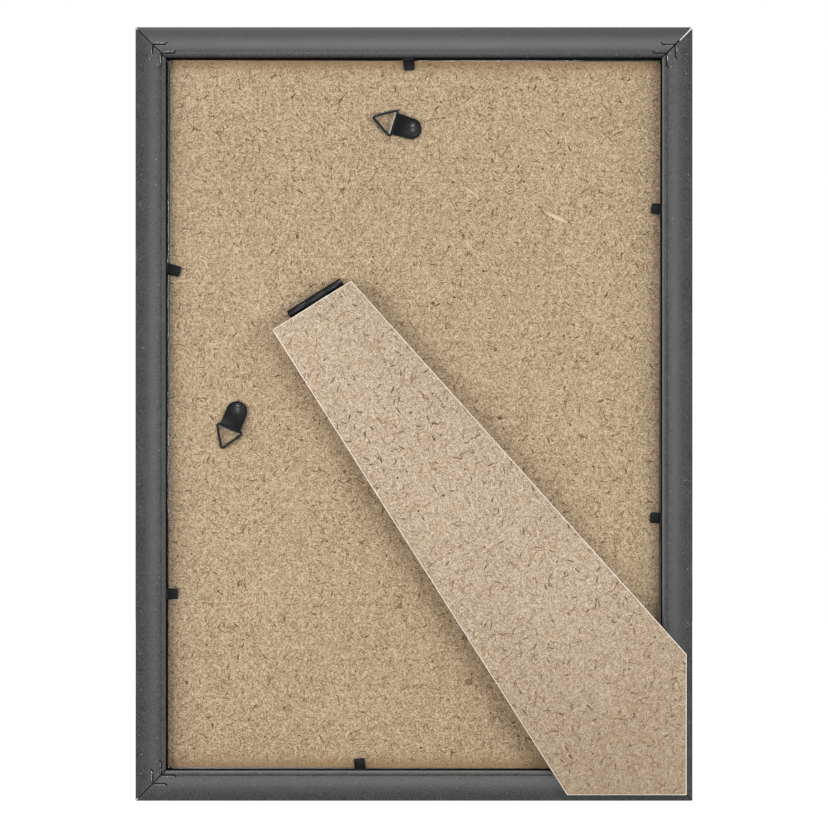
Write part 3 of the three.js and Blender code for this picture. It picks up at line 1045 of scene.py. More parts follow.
@dataclass
class Moulding:
    """The four mitred rails."""

    opening: Pair = (211 * MM, 303 * MM)
    back_width: float = 12.8 * MM
    lip_width: float = 5 * MM
    rebate_floor: float = -9.9 * MM
    front: float = -14.9 * MM
    sight_edge: float = 1.4 * MM
    front_round: float = 4 * MM
    crown_fall: float = 1 * MM
    crown_inset: float = 6.3 * MM
    bead_width: float = 2.2 * MM
    bead_rise: float = 0.35 * MM
    bead_fall: float = 0.25 * MM
    mitre_gap: float = 0.4 * MM
    open_mitre_gap: float = 0.7 * MM
    wall_play: float = 0.05 * MM
    floor_play: float = 0.1 * MM
    round_steps: int = 10
    front_steps: int = 14
    bead_steps: int = 10
    crown_steps: int = 24
    cut_play: float = 1e-7
    sharp: float = 30
    # Painted light of each rail: a tone for the light its side gets, and painted highlights along
    # the crown and the inner edge.
    wear: dict[Side, Wear] = field(
        default_factory=lambda: {
            Side.BOTTOM: Wear(1.16, 0.1, 0.5),
            Side.RIGHT: Wear(1.0, 0.0, 0.8),
            Side.TOP: Wear(0.62, 0.95),
            Side.LEFT: Wear(1.0, 0.0, 0.2),
        }
    )

    @property
    def outer(self) -> Pair:
        """Give the outer width and height."""
        return tuple(size + 2 * self.back_width for size in self.opening)

    @property
    def sight_inset(self) -> float:
        """Give how far in the window's edge is."""
        return self.back_width + self.lip_width

    @property
    def groove(self) -> float:
        """Give how far in the groove between the crown and the bead is."""
        return self.back_width - self.bead_width

    def crown(self, inset: float) -> float:
        """Give the height of the crown this far in from the outer edge."""
        return -self.crown_fall * ((inset - self.crown_inset) / self.crown_inset) ** 2

    def surface(self, inset: float) -> float:
        """Give the height of the crown or the bead this far in from the outer edge."""
        share = max(0.0, (inset - self.groove) / self.bead_width)
        bead = 4 * self.bead_rise * share * (1 - share) - self.bead_fall * share**2
        return self.crown(min(inset, self.groove)) + bead

    def mitre(self, corner: Corner, inset: float) -> float:
        """Give the width of a corner's open mitre this far in from the outer edge."""
        tip = self.open_mitre_gap if corner is Corner.TOP_RIGHT else self.mitre_gap
        return tip + (self.mitre_gap - tip) * inset / self.sight_inset

    def section(self) -> list[Point]:
        """Draw the section of a rail.

        Returns:
            The outline, as insets from the outer edge and depths.
        """
        groove = self.groove
        groove_height = self.crown(groove)
        bead_end = groove_height - self.bead_fall
        bead_pull = groove_height + 2 * self.bead_rise
        crown_pull = self.crown_fall * (groove - self.crown_inset) / self.crown_inset
        start = (0.0, -self.crown_fall)
        low = (0.0, self.front + self.front_round)
        flat = (self.front_round, self.front)
        sight = (self.sight_inset, self.rebate_floor - self.sight_edge)
        outline = [start, low]
        outline += quadratic(low, (0.0, self.front), flat, self.round_steps)
        outline += quadratic(flat, (self.back_width, self.front), sight, self.front_steps)
        outline += [(self.sight_inset, self.rebate_floor), (self.back_width, self.rebate_floor)]
        wall = (self.back_width, bead_end)
        bead = (self.back_width - self.bead_width / 2, bead_pull)
        crest = (groove, groove_height)
        outline.append(wall)
        outline += quadratic(wall, bead, crest, self.bead_steps)
        outline += quadratic(crest, (groove / 2, crown_pull), start, self.crown_steps)
        return outline[:-1]

    def rail(self, side: Side) -> bpy.types.Object:
        """Model one rail along X with its outer face down.

        Args:
            side: Which rail.

        Returns:
            The rail, before it is turned to its side.
        """
        span, across = reversed(self.outer) if side.upright else self.outer
        points = [Vector((span / 2, depth, inset - across / 2)) for inset, depth in self.section()]
        rail = Bench.trace(f"moulding_{side.label}", points)
        Bench.extrude(Vector((-span, 0, 0)))
        opened = {Side.RIGHT: -1, Side.TOP: 1}.get(side)
        for end in (1, -1):
            tip = self.open_mitre_gap if opened == end else self.mitre_gap
            slope = 1 - (tip - self.mitre_gap) / (math.sqrt(2) * self.sight_inset)
            bpy.ops.mesh.select_all(action="SELECT")
            bpy.ops.mesh.bisect(
                plane_co=(end * (span / 2 - tip / math.sqrt(2)), 0, -across / 2),
                plane_no=(end, 0, slope),
                use_fill=True,
                clear_outer=True,
                threshold=self.cut_play,
            )
        bpy.ops.mesh.select_all(action="SELECT")
        bpy.ops.mesh.normals_make_consistent(inside=False)
        Bench.clear()
        return rail

    def line_rebate(self, rail: bpy.types.Object) -> None:
        """Give the walls and the floor of a rail's rebate the second material."""
        half_width, half_height = (size / 2 + self.wall_play for size in self.opening)
        for face in rail.data.polygons:
            x, y, z = face.center
            inside = abs(x) < half_width and abs(z) < half_height
            if inside and y > self.rebate_floor - self.floor_play:
                face.material_index = 1

    def build(
        self, stance: Stance, foil: Foil, bare: Metal, slots: Callable[[], bpy.types.Object]
    ) -> list[Piece]:
        """Model, cut and dress the rails.

        Args:
            stance: Where the frame is.
            foil: Finish of the outside.
            bare: Finish of the rebate's dark walls.
            slots: Makes the cutters for the nails' slots.

        Returns:
            The rails.
        """
        pieces = []
        dark = bare.material("rebate_wall")
        for side in Side:
            rail = self.rail(side)
            turn = quarter_turns(side.value)
            Bench.settle(rail, turn)
            Bench.carve(rail, slots(), "DIFFERENCE")
            Bench.smooth(rail, self.sharp)
            place = stance.frame @ turn
            edge = -self.opening[0 if side.upright else 1] / 2 / MM
            dress(rail, foil.material(f"foil_{side.label}", place, edge, self.wear[side]), dark)
            self.line_rebate(rail)
            Bench.settle(rail, stance.frame)
            pieces.append(Piece(rail, "frame", Slot.MOULDING, (f"rail_{side.label}",)))
        return pieces


@dataclass
class Mitres:
    """The dark glue in the mitre joints, which leaves their outer tips open."""

    starts: dict[Corner, float] = field(
        default_factory=lambda: {
            Corner.BOTTOM_RIGHT: 0.1 * MM,
            Corner.TOP_RIGHT: 5.4 * MM,
            Corner.TOP_LEFT: 0.9 * MM,
            Corner.BOTTOM_LEFT: 0.9 * MM,
        }
    )
    play: float = 0.02 * MM
    wall_play: float = 0.1 * MM
    sight_play: float = 0.2 * MM
    top: float = -2.2 * MM
    lip_top: float = -10 * MM
    bottom: float = -10.9 * MM

    def strip(
        self, moulding: Moulding, corner: Corner, insets: Pair, depths: Pair
    ) -> bpy.types.Object:
        """Model the glue in part of a mitre.

        Args:
            moulding: The rails.
            corner: Which mitre.
            insets: First and last inset from the outer edge.
            depths: Lower and upper depth.

        Returns:
            The strip.
        """
        outline = []
        across = corner.turn @ Vector((math.sqrt(0.5), 0, -math.sqrt(0.5)))
        first, last = insets
        for inset, side in ((first, 1), (last, 1), (last, -1), (first, -1)):
            middle = corner.at(*(size / 2 - inset for size in moulding.outer))
            half = moulding.mitre(corner, inset) / 2 - self.play
            point = middle + across * side * half
            outline.append((point.x, point.z))
        return Bench.slab("glue", outline, *depths)

    def build(self, stance: Stance, moulding: Moulding, dark: bpy.types.Material) -> list[Piece]:
        """Model and dress the glue of every mitre.

        Args:
            stance: Where the frame is.
            moulding: The rails.
            dark: Material of the glue.

        Returns:
            The strips.
        """
        pieces = []
        wall = moulding.back_width - self.wall_play
        sight = moulding.sight_inset - self.sight_play
        deep, thin = (self.bottom, self.top), (self.bottom, self.lip_top)
        for corner, start in self.starts.items():
            strips = [
                self.strip(moulding, corner, (start, wall), deep),
                self.strip(moulding, corner, (wall, sight), thin),
            ]
            glue = call(Bench.join(strips), f"glue_{corner.name.lower()}")
            dress(glue, dark)
            Bench.settle(glue, stance.frame)
            pieces.append(Piece(glue, "frame", Slot.MOULDING, ()))
        return pieces


@dataclass(frozen=True)
class Burr:
    """A torn sliver of foil beside a nail, with its line about the nail's bend, in millimetres."""

    FULLNESS: ClassVar[float] = 0.3
    TIP: ClassVar[float] = 0.25
    OVERHANG: ClassVar[float] = 0.4

    corner: Corner
    row: int
    width: float
    line: tuple[Point, ...]

    def outline(self) -> list[Point]:
        """Draw the sliver, thin at both ends.

        Returns:
            The outline.
        """
        near, far = [], []
        last = len(self.line) - 1
        for index, point in enumerate(self.line):
            before, after = self.line[max(index - 1, 0)], self.line[min(index + 1, last)]
            along = (Vector(after) - Vector(before)).normalized()
            share = (index + self.OVERHANG) / (last + 2 * self.OVERHANG)
            swell = self.TIP + (1 - self.TIP) * math.sin(math.pi * share)
            half = self.width * self.FULLNESS * swell
            near.append(((point[0] - along.y * half) * MM, (point[1] + along.x * half) * MM))
            far.append(((point[0] + along.y * half) * MM, (point[1] - along.x * half) * MM))
        return near + far[::-1]

    def depth(self) -> float:
        """Give how far in from the nail's bend the sliver lies."""
        return sum(min(point) for point in self.line) / len(self.line) * MM


@dataclass
class VNails:
    """The bent steel strips across the mitres, whose solids are kept, and the torn foil there."""

    arm: float = 5.2 * MM
    hook: float = 1.3 * MM
    thickness: float = 0.5 * MM
    depth: float = 8 * MM
    setback: float = 1.7 * MM
    spacing: float = 3.7 * MM
    gap: float = 0.05 * MM
    slot_top: float = 2 * MM
    sliver_depth: float = 0.3 * MM
    sliver_rise: float = 0.05 * MM
    burrs: tuple[Burr, ...] = (
        Burr(Corner.TOP_LEFT, 1, 0.3, ((1.1, -0.85), (1.9, -0.9), (3.4, -0.75), (4.9, -0.65))),
        Burr(Corner.TOP_LEFT, 1, 0.24, ((-0.55, 2.2), (-0.42, 3.8), (-0.16, 5.1), (-1.6, 6.4))),
        Burr(
            Corner.TOP_LEFT,
            0,
            0.34,
            ((0.06, 0.3), (1.03, -0.5), (2.0, -0.85), (3.0, -0.8), (4.9, -0.9), (5.55, -1.3)),
        ),
        Burr(Corner.TOP_LEFT, 0, 0.26, ((-0.5, 1.4), (-0.5, 3.3), (-0.16, 4.9), (-1.17, 6.2))),
        Burr(
            Corner.BOTTOM_LEFT,
            1,
            0.3,
            ((1.1, -0.4), (2.9, -0.6), (4.5, -0.35), (5.4, -0.6), (5.6, -1.4)),
        ),
        Burr(Corner.BOTTOM_LEFT, 1, 0.18, ((-0.5, 0.7), (-0.55, 2.6), (-0.5, 4.85))),
        Burr(Corner.BOTTOM_LEFT, 0, 0.34, ((0.9, -0.4), (1.84, -0.42), (2.4, 0.2), (2.56, 0.71))),
        Burr(Corner.BOTTOM_LEFT, 0, 0.22, ((3.0, -0.4), (4.9, -0.42), (5.4, -0.9))),
        Burr(Corner.BOTTOM_LEFT, 0, 0.22, ((-0.68, 0.25), (-0.68, 2.8), (-0.94, 5.7))),
        Burr(Corner.TOP_RIGHT, 1, 0.18, ((0.42, 0.7), (0.4, 2.6), (0.38, 4.5))),
        Burr(Corner.TOP_RIGHT, 1, 0.32, ((1.07, -0.35), (1.78, -0.8), (2.69, -0.7), (3.17, -0.3))),
        Burr(Corner.TOP_RIGHT, 0, 0.4, ((0.9, -0.45), (2.0, -0.5), (3.2, -0.5))),
        Burr(Corner.TOP_RIGHT, 0, 0.26, ((-0.8, 3.6), (-0.9, 3.85), (-0.85, 4.1))),
    )

    def strip(self) -> list[Point]:
        """Draw one strip with its gap.

        Returns:
            The outline, about the strip's bend.
        """
        half = self.thickness / 2 + self.gap
        tip = (self.hook + self.gap) * math.sqrt(0.5)
        reach = self.arm
        skew = half * math.tan(math.pi / 8)
        cut = half * math.sqrt(0.5)
        outer = [
            (reach + tip - cut, -tip - cut),
            (reach - skew, -half),
            (-half, -half),
            (-half, reach - skew),
            (-tip - cut, reach + tip - cut),
        ]
        inner = [
            (-tip + cut, reach + tip + cut),
            (half, reach + skew),
            (half, half),
            (reach + skew, half),
            (reach + tip + cut, -tip + cut),
        ]
        return outer + inner

    def place(self, moulding: Moulding, corner: Corner, row: int) -> Matrix:
        """Give the matrix of one nail about the frame's centre.

        Args:
            moulding: The rails.
            corner: Which mitre.
            row: 0 for the inner nail and 1 for the outer one.

        Returns:
            The matrix, with the nail's bend at its origin.
        """
        setback = self.setback + row * self.spacing
        bend = corner.at(*(size / 2 + setback for size in moulding.opening))
        return Matrix.Translation(bend) @ corner.turn

    def cutter(self, moulding: Moulding) -> bpy.types.Object:
        """Model all the slots in the rails as one cutter.

        Args:
            moulding: The rails.

        Returns:
            The cutter, about the frame's centre.
        """
        cutters = []
        for corner in Corner:
            for row in range(2):
                strip = Bench.slab("slot", self.strip(), -self.depth, self.slot_top)
                Bench.settle(strip, self.place(moulding, corner, row))
                cutters.append(strip)
        return Bench.join(cutters)

    def build(self, stance: Stance, moulding: Moulding, torn: bpy.types.Material) -> list[Piece]:
        """Model and dress the torn foil.

        Args:
            stance: Where the frame is.
            moulding: The rails.
            torn: Material of the torn foil.

        Returns:
            The slivers.
        """
        pieces = []
        for number, burr in enumerate(self.burrs):
            inset = moulding.back_width - self.setback - burr.row * self.spacing + burr.depth()
            skin = moulding.surface(inset)
            depths = (skin - self.sliver_depth, skin + self.sliver_rise)
            sliver = Bench.slab(f"sliver_{number}", burr.outline(), *depths)
            dress(sliver, torn)
            Bench.settle(sliver, stance.frame @ self.place(moulding, burr.corner, burr.row))
            pieces.append(Piece(sliver, "frame", Slot.MOULDING, ()))
        return pieces


@dataclass
class Backing:
    """The hardboard back."""

    left: float = 104.3 * MM
    right: float = -104.5 * MM
    top: float = 150.3 * MM
    bottom: float = -150.7 * MM
    front: float = -6.7 * MM
    back: float = -4.2 * MM
    corner: float = 1.4 * MM
    corner_steps: int = 5
    edge_round: float = 0.25 * MM
    edge_limit: float = 0.5
    turn: float = -0.2

    def build(self, stance: Stance, board: Hardboard, edge: CutEdge) -> list[Piece]:
        """Model and dress the board.

        Args:
            stance: Where the frame is.
            board: Finish of its faces.
            edge: Finish of its edges.

        Returns:
            The board.
        """
        corners = (
            (self.left, self.top),
            (self.right, self.top),
            (self.right, self.bottom),
            (self.left, self.bottom),
        )
        outline: list[Point] = []
        for quarter, (x, z) in enumerate(corners):
            middle = (x - math.copysign(self.corner, x), z - math.copysign(self.corner, z))
            first = 90 * quarter
            outline += arc(middle, self.corner, first, first + 90, self.corner_steps)
        sheet = Bench.slab("hardboard_back", outline, self.front, self.back)
        Bench.soften(sheet, self.edge_round)
        place = stance.frame @ Matrix.Rotation(math.radians(self.turn), 4, "Y")
        dress(sheet, board.material("hardboard", place), edge.material("back_edge", place))
        for face in sheet.data.polygons:
            face.material_index = int(abs(face.normal.y) < self.edge_limit)
        Bench.settle(sheet, place)
        return [Piece(sheet, "frame", Slot.HARDBOARD, ("backing_board",))]


@dataclass
class Tabs:
    """The flat steel tabs that hold the back in."""

    width: float = 4.8 * MM
    tip_width: float = 4.5 * MM
    thickness: float = 0.5 * MM
    root: float = 5.4 * MM
    corner: float = 0.7 * MM
    bend_steps: int = 6
    edge_round: float = 0.1 * MM
    stub_inset: float = 0.06 * MM
    stub_drop: float = 0.01 * MM
    stub_share: float = 0.96
    stub_end: float = -4
    reaches: dict[str, float] = field(
        default_factory=lambda: {
            "top": 4.8 * MM,
            "right_upper": 4 * MM,
            "right_lower": 4.5 * MM,
            "left_upper": 5.7 * MM,
            "left_lower": 4.5 * MM,
            "bottom": 4.4 * MM,
        }
    )

    def flap(self, reach: float) -> bpy.types.Object:
        """Model the part of a tab that bends.

        Args:
            reach: How far it reaches over the back.

        Returns:
            The part, with its bend line at the origin.
        """
        tip = self.tip_width / 2
        middle, side = reach - self.corner, tip - self.corner
        outline = [(0.0, -self.width / 2), (middle, -tip)]
        outline += arc((middle, -side), self.corner, -90, 0, self.bend_steps)[1:]
        outline += arc((middle, side), self.corner, 0, 90, self.bend_steps)
        outline.append((0.0, self.width / 2))
        flap = Bench.slab("tab", outline, -self.thickness, 0)
        Bench.soften(flap, self.edge_round)
        return flap

    def stub(self) -> bpy.types.Object:
        """Model the part of a tab in the rail, with a round bend that stays under the flap.

        Returns:
            The part, with the bend line at the origin.
        """
        side = [(-self.root, 0.0), (-self.root, -self.thickness), (0.0, -self.thickness)]
        side += arc((0.0, 0.0), self.thickness, -90, self.stub_end, self.bend_steps)[1:]
        side.append((0.0, 0.0))
        start = self.stub_inset - self.width / 2
        points = [Vector((x, y * self.stub_share - self.stub_drop, start)) for x, y in side]
        stub = Bench.trace("tab_stub", points)
        Bench.extrude(Vector((0, 0, -2 * start)))
        Bench.clear()
        Bench.smooth(stub)
        return stub

    def build(self, stance: Stance, steel: bpy.types.Material) -> list[Piece]:
        """Model and dress the tabs.

        Args:
            stance: Where the tabs are.
            steel: Their material.

        Returns:
            The bending parts and the parts in the rails.
        """
        stub = self.stub()
        pieces = []
        for name, reach in self.reaches.items():
            place = stance.bent(f"{name}_tab_bend")
            for shape, node, body in (
                (self.flap(reach), f"tab_{name}", f"{name}_tab"),
                (Bench.copy(stub, "stub"), f"tab_root_{name}", "frame"),
            ):
                dress(call(shape, f"{node}_finish"), steel)
                Bench.settle(shape, place)
                pieces.append(Piece(shape, body, Slot.BLACK_STEEL, (node,)))
        bpy.data.objects.remove(stub)
        return pieces


@dataclass
class Hangers:
    """The riveted straps with their wire triangles."""

    inset: float = 30.4 * MM
    width: float = 9.2 * MM
    sheet: float = 0.3 * MM
    end_offset: float = 1 * MM
    eye_reach: float = 8.3 * MM
    slope: float = 4.4 * MM
    shoulder: float = 0.28
    shoulder_drop: float = 0.4 * MM
    fold: Pair = (150, -85)
    front: float = -3.9 * MM
    wire: float = 1.05 * MM
    wire_gap: float = 0.2 * MM
    side_gap: float = 0.2 * MM
    slant: float = 31.5
    bar_bend: float = 1.9 * MM
    tip_bend: float = 1.6 * MM
    head: float = 5.7 * MM
    head_height: float = 1.5 * MM
    shank: float = 1.3 * MM
    shank_length: float = 2 * MM
    rim: float = 0.28 * MM
    rim_round: float = 0.08 * MM
    rim_line: tuple[Point, ...] = ((0.0, 0.7), (0.1 * MM, 1.0), (0.22 * MM, 1.05))
    dome_inset: float = 0.25 * MM
    seat_gap: float = 0.2 * MM
    seat_share: float = 0.4
    slit: float = 0.02 * MM
    tail_spare: float = 0.5 * MM
    cut_play: float = 0.01 * MM
    cut_depths: Pair = (-2 * MM, 6 * MM)
    edge_round: float = 0.1 * MM
    edge_angle: float = 40
    eye_steps: int = 20
    fold_steps: int = 18
    shoulder_steps: int = 5
    end_steps: int = 24
    dome_steps: int = 12
    spin_steps: int = 48
    bend_steps: int = 9
    wire_steps: int = 5
    merge: float = 0.005 * MM
    rivet_sharp: float = 50
    wire_sharp: float = 60
    # Strength of the painted highlight along each strap's fold.
    wear: dict[str, float] = field(default_factory=lambda: {"top": 0.85, "left": 0.2})

    @property
    def eye(self) -> float:
        """Give the outer radius of the folded end."""
        return self.wire / 2 + self.wire_gap + self.sheet

    def strap(self) -> bpy.types.Object:
        """Model the folded strap from its side, then cut its round end.

        Returns:
            The strap, with its rivet's axis at the origin.
        """
        tail = self.end_offset - self.width / 2 - self.tail_spare
        inner = self.eye - self.sheet
        centre = (self.eye_reach, self.eye)
        low = (self.eye_reach - self.slope, 2 * self.sheet)
        shoulder = self.slope * self.shoulder
        bend = (self.eye_reach - shoulder, 2 * self.eye - self.shoulder_drop)
        pull = (self.eye_reach - shoulder / 2, 2 * self.eye)
        side = [(tail, 0.0)]
        side += arc(centre, self.eye, -90, 90, self.eye_steps)
        side += quadratic(side[-1], pull, bend, self.shoulder_steps)
        side += [low, (tail, 2 * self.sheet)]
        side += [(tail, self.sheet + self.slit), (low[0], self.sheet + self.slit)]
        side += arc(centre, inner, *self.fold, self.fold_steps)
        side += [(tail, self.sheet - self.slit)]
        points = [Vector((x, y + self.front, -self.width / 2)) for x, y in side]
        strap = Bench.trace("strap", points)
        Bench.extrude(Vector((0, 0, self.width)))
        Bench.clear()
        half = self.width / 2 - self.cut_play
        far = self.eye_reach + 3 * self.eye
        end = arc((self.end_offset, 0.0), half, 90, 270, self.end_steps)
        outline = [(far, half), *end, (far, -half)]
        depths = (self.front + depth for depth in self.cut_depths)
        around = Bench.slab("round_end", outline, *depths)
        Bench.carve(strap, around, "INTERSECT")
        Bench.soften(strap, self.edge_round, angle=self.edge_angle)
        return strap

    def rivet(self) -> bpy.types.Object:
        """Spin the rivet's domed head and shank about its axis.

        Returns:
            The rivet, with its axis along Y.
        """
        seat = self.front + 2 * self.sheet + self.seat_gap * self.seat_share
        radius, tail = self.head / 2, seat - self.shank_length
        dome = self.head_height + self.seat_gap * (1 - self.seat_share) - self.rim
        profile = [
            (0.0, tail),
            (self.shank, tail),
            (self.shank, seat),
            (radius - self.rim_round, seat),
            (radius, seat + self.rim_round),
        ]
        profile += [(radius - inset, seat + self.rim * share) for inset, share in self.rim_line]
        foot = profile[-1][1]
        for step in range(self.dome_steps + 1):
            angle = math.pi / 2 * step / self.dome_steps
            across = (radius - self.dome_inset) * math.cos(angle)
            profile.append((across, foot + dome * math.sin(angle)))
        rivet = Bench.trace("rivet", [Vector((across, up, 0)) for across, up in profile])
        bpy.ops.mesh.delete(type="ONLY_FACE")
        bpy.ops.mesh.select_all(action="SELECT")
        bpy.ops.mesh.spin(
            steps=self.spin_steps, angle=2 * math.pi, center=(0, 0, 0), axis=(0, 1, 0)
        )
        bpy.ops.mesh.select_all(action="SELECT")
        bpy.ops.mesh.remove_doubles(threshold=self.merge)
        bpy.ops.mesh.normals_make_consistent(inside=False)
        Bench.clear()
        Bench.smooth(rivet, self.rivet_sharp)
        return rivet

    def tips(self) -> list[Vector]:
        """Give the corners of the wire's middle line, two at the bar and one at the end."""
        lean = math.radians(self.slant)
        side = self.wire / 2 / math.cos(lean) + self.eye * math.tan(lean)
        bar = self.width / 2 + self.side_gap + side
        return [Vector((0, bar)), Vector((0, -bar)), Vector((bar / math.tan(lean), 0))]

    def ring(self) -> bpy.types.Object:
        """Bend the wire triangle.

        Returns:
            The triangle, flat in X and Z with its straight bar at X 0.
        """
        line: list[Point] = []
        tips = self.tips()
        for index, tip in enumerate(tips):
            bend = self.tip_bend if index == 2 else self.bar_bend
            start, end = (
                tuple(tip + (tips[(index + step) % 3] - tip).normalized() * bend)
                for step in (-1, 1)
            )
            line += [start, *quadratic(start, tuple(tip), end, self.bend_steps)]
        ring = Bench.trace("ring", [Vector((x, 0, z)) for x, z in line], fill=False)
        Bench.clear()
        Bench.choose(ring)
        bpy.ops.object.convert(target="CURVE")
        wire = bpy.context.object
        wire.data.bevel_depth = self.wire / 2
        wire.data.bevel_resolution = self.wire_steps
        bpy.ops.object.convert(target="MESH")
        Bench.smooth(bpy.context.object, self.wire_sharp)
        return bpy.context.object

    def build(self, stance: Stance, strap: Metal, rivet: Metal, wire: Metal) -> list[Piece]:
        """Model and dress both hangers.

        Args:
            stance: Where the hangers are.
            strap: Finish of the straps.
            rivet: Finish of the rivets.
            wire: Finish of the rings.

        Returns:
            The straps, rivets and rings.
        """
        models = {"strap": self.strap(), "rivet": self.rivet(), "ring": self.ring()}
        plain = {"rivet": rivet.material("rivet_steel"), "ring": wire.material("wire_steel")}
        droop = math.asin((self.eye - self.wire / 2) / self.tips()[2].x)
        rest = Matrix.Rotation(-droop, 4, "Z")
        pieces = []
        for name, wear in self.wear.items():
            place = stance.strap(f"{name}_strap_swivel", f"{name}_ring_swing")
            ring_place = stance.bent(f"{name}_ring_swing") @ rest
            bodies = {"strap": f"{name}_strap", "rivet": "frame", "ring": f"{name}_ring"}
            finishes = plain | {"strap": strap.material(f"strap_steel_{name}", place, wear)}
            for kind, model in models.items():
                node = f"hanger_{name}_{kind}"
                twin = Bench.copy(model, f"{node}_finish")
                dress(twin, finishes[kind])
                Bench.settle(twin, ring_place if kind == "ring" else place)
                pieces.append(Piece(twin, bodies[kind], Slot.BLACK_STEEL, (node,)))
        for model in models.values():
            bpy.data.objects.remove(model)
        return pieces


@dataclass
class Easel:
    """The strut and its hinge."""

    barrel: float = 3.8 * MM
    length: float = 26.6 * MM
    middle: float = 9.4 * MM
    knuckle_gap: float = 0.03 * MM
    pin: float = 1.6 * MM
    leaf: float = 0.8 * MM
    leaf_length: float = 15 * MM
    leaf_round: float = 0.06 * MM
    leaf_angle: float = 40
    pin_play: float = 0.05 * MM
    pin_spare: float = 0.4 * MM
    pin_round: float = 0.15 * MM
    pin_sides: int = 32
    pin_round_steps: int = 3
    roll_start: float = -128
    roll_end: float = 195
    hole_end: float = -60
    roll_steps: int = 44
    hole_steps: int = 24
    inner: float = 2.2 * MM
    thickness: float = 3 * MM
    strut_round: float = 0.36 * MM
    edge_limit: float = 0.95
    corners: tuple[Point, ...] = (
        (22.5 * MM, -1.8 * MM),
        (21.029 * MM, -235.194 * MM),
        (-21.882 * MM, -262.008 * MM),
        (-53.518 * MM, -211.38 * MM),
        (-16.8 * MM, -1.8 * MM),
    )

    def roll(self, name: str, left: float, right: float) -> bpy.types.Object:
        """Model one rolled knuckle with its leaf, the leaf under the pin and towards -Z.

        Args:
            name: Name of the piece.
            left: Where it starts along the pin.
            right: Where it ends.

        Returns:
            The knuckle, with the pin's axis along X.
        """
        outer, hole = self.barrel / 2, self.pin / 2 + self.pin_play
        side = [(-self.leaf_length, -outer), (-outer, -outer)]
        side += arc((0.0, 0.0), outer, self.roll_start, self.roll_end, self.roll_steps)
        side += arc((0.0, 0.0), hole, self.roll_end, self.hole_end, self.hole_steps)
        side += [(-hole, self.leaf - outer), (-self.leaf_length, self.leaf - outer)]
        roll = Bench.trace(name, [Vector((left, y, z)) for z, y in side])
        Bench.extrude(Vector((right - left, 0, 0)))
        Bench.clear()
        Bench.soften(roll, self.leaf_round, angle=self.leaf_angle)
        return roll

    def build_hinge(self, stance: Stance, steel: bpy.types.Material) -> list[Piece]:
        """Model and dress the hinge's leaves and pin.

        Args:
            stance: Where the hinge is.
            steel: Its material.

        Returns:
            The leaves and the pin.
        """
        half, knuckle = self.length / 2, self.middle / 2
        place = stance.hinge("strut_hinge")
        ends = [
            self.roll("board_leaf", -half, -knuckle - self.knuckle_gap),
            self.roll("board_leaf_end", knuckle + self.knuckle_gap, half),
        ]
        outer = Bench.join(ends)
        inner = self.roll("strut_leaf", -knuckle, knuckle)
        Bench.settle(inner, Matrix.Scale(-1, 4, (0, 1, 0)))
        Bench.edit(inner)
        bpy.ops.mesh.normals_make_consistent(inside=False)
        Bench.clear()
        length = self.length + self.pin_spare
        bpy.ops.mesh.primitive_cylinder_add(
            vertices=self.pin_sides, radius=self.pin / 2, depth=length
        )
        pin = bpy.context.object
        Bench.settle(pin, quarter_turns(1))
        Bench.soften(pin, self.pin_round, segments=self.pin_round_steps)
        pieces = []
        for shape, body, node in (
            (outer, "frame", "hinge_board_leaf"),
            (inner, "easel_strut", "hinge_strut_leaf"),
            (pin, "frame", "hinge_pin"),
        ):
            dress(call(shape, f"{node}_finish"), steel)
            Bench.settle(shape, place)
            pieces.append(Piece(shape, body, Slot.BLACK_STEEL, (node,)))
        return pieces

    def build_strut(self, stance: Stance, board: Hardboard, edge: CutEdge) -> list[Piece]:
        """Model and dress the strut.

        Args:
            stance: Where the hinge is.
            board: Finish of its faces.
            edge: Finish of its edges.

        Returns:
            The strut.
        """
        place = stance.hinge("strut_hinge")
        strut = Bench.slab("strut_finish", self.corners, self.inner, self.inner + self.thickness)
        Bench.soften(strut, self.strut_round)
        dress(strut, board.material("strut_face", place), edge.material("strut_edge", place))
        for face in strut.data.polygons:
            face.material_index = int(abs(face.normal.y) < self.edge_limit)
        Bench.settle(strut, place)
        return [Piece(strut, "easel_strut", Slot.STRUT, ("strut",))]


@dataclass(frozen=True)
class Softbox:
    """A flat lamp, placed round the frame's centre by its turn to the right and its rise."""

    name: str
    turn: float
    rise: float
    distance: float
    size: Pair
    power: float
    beam: Beam = Beam.BOTH

    def light(self, stance: Stance) -> None:
        """Put the lamp in place and aim it at the frame's centre.

        Args:
            stance: Where the frame is.
        """
        lamp = bpy.data.lights.new(self.name, "AREA")
        lamp.shape = "RECTANGLE"
        lamp.size, lamp.size_y = self.size
        lamp.energy = self.power
        holder = bpy.data.objects.new(self.name, lamp)
        bpy.context.scene.collection.objects.link(holder)
        turn = Matrix.Rotation(math.radians(self.turn), 4, "Z")
        rise = Matrix.Rotation(math.radians(self.rise), 4, "X")
        offset = turn @ rise @ Vector((0, self.distance, 0))
        holder.location = stance.frame @ offset
        holder.visible_glossy = self.beam is not Beam.SOFT
        holder.visible_diffuse = self.beam is not Beam.GLINT
        holder.visible_camera = False
        holder.rotation_euler = (-offset).to_track_quat("-Z", "Y").to_euler()


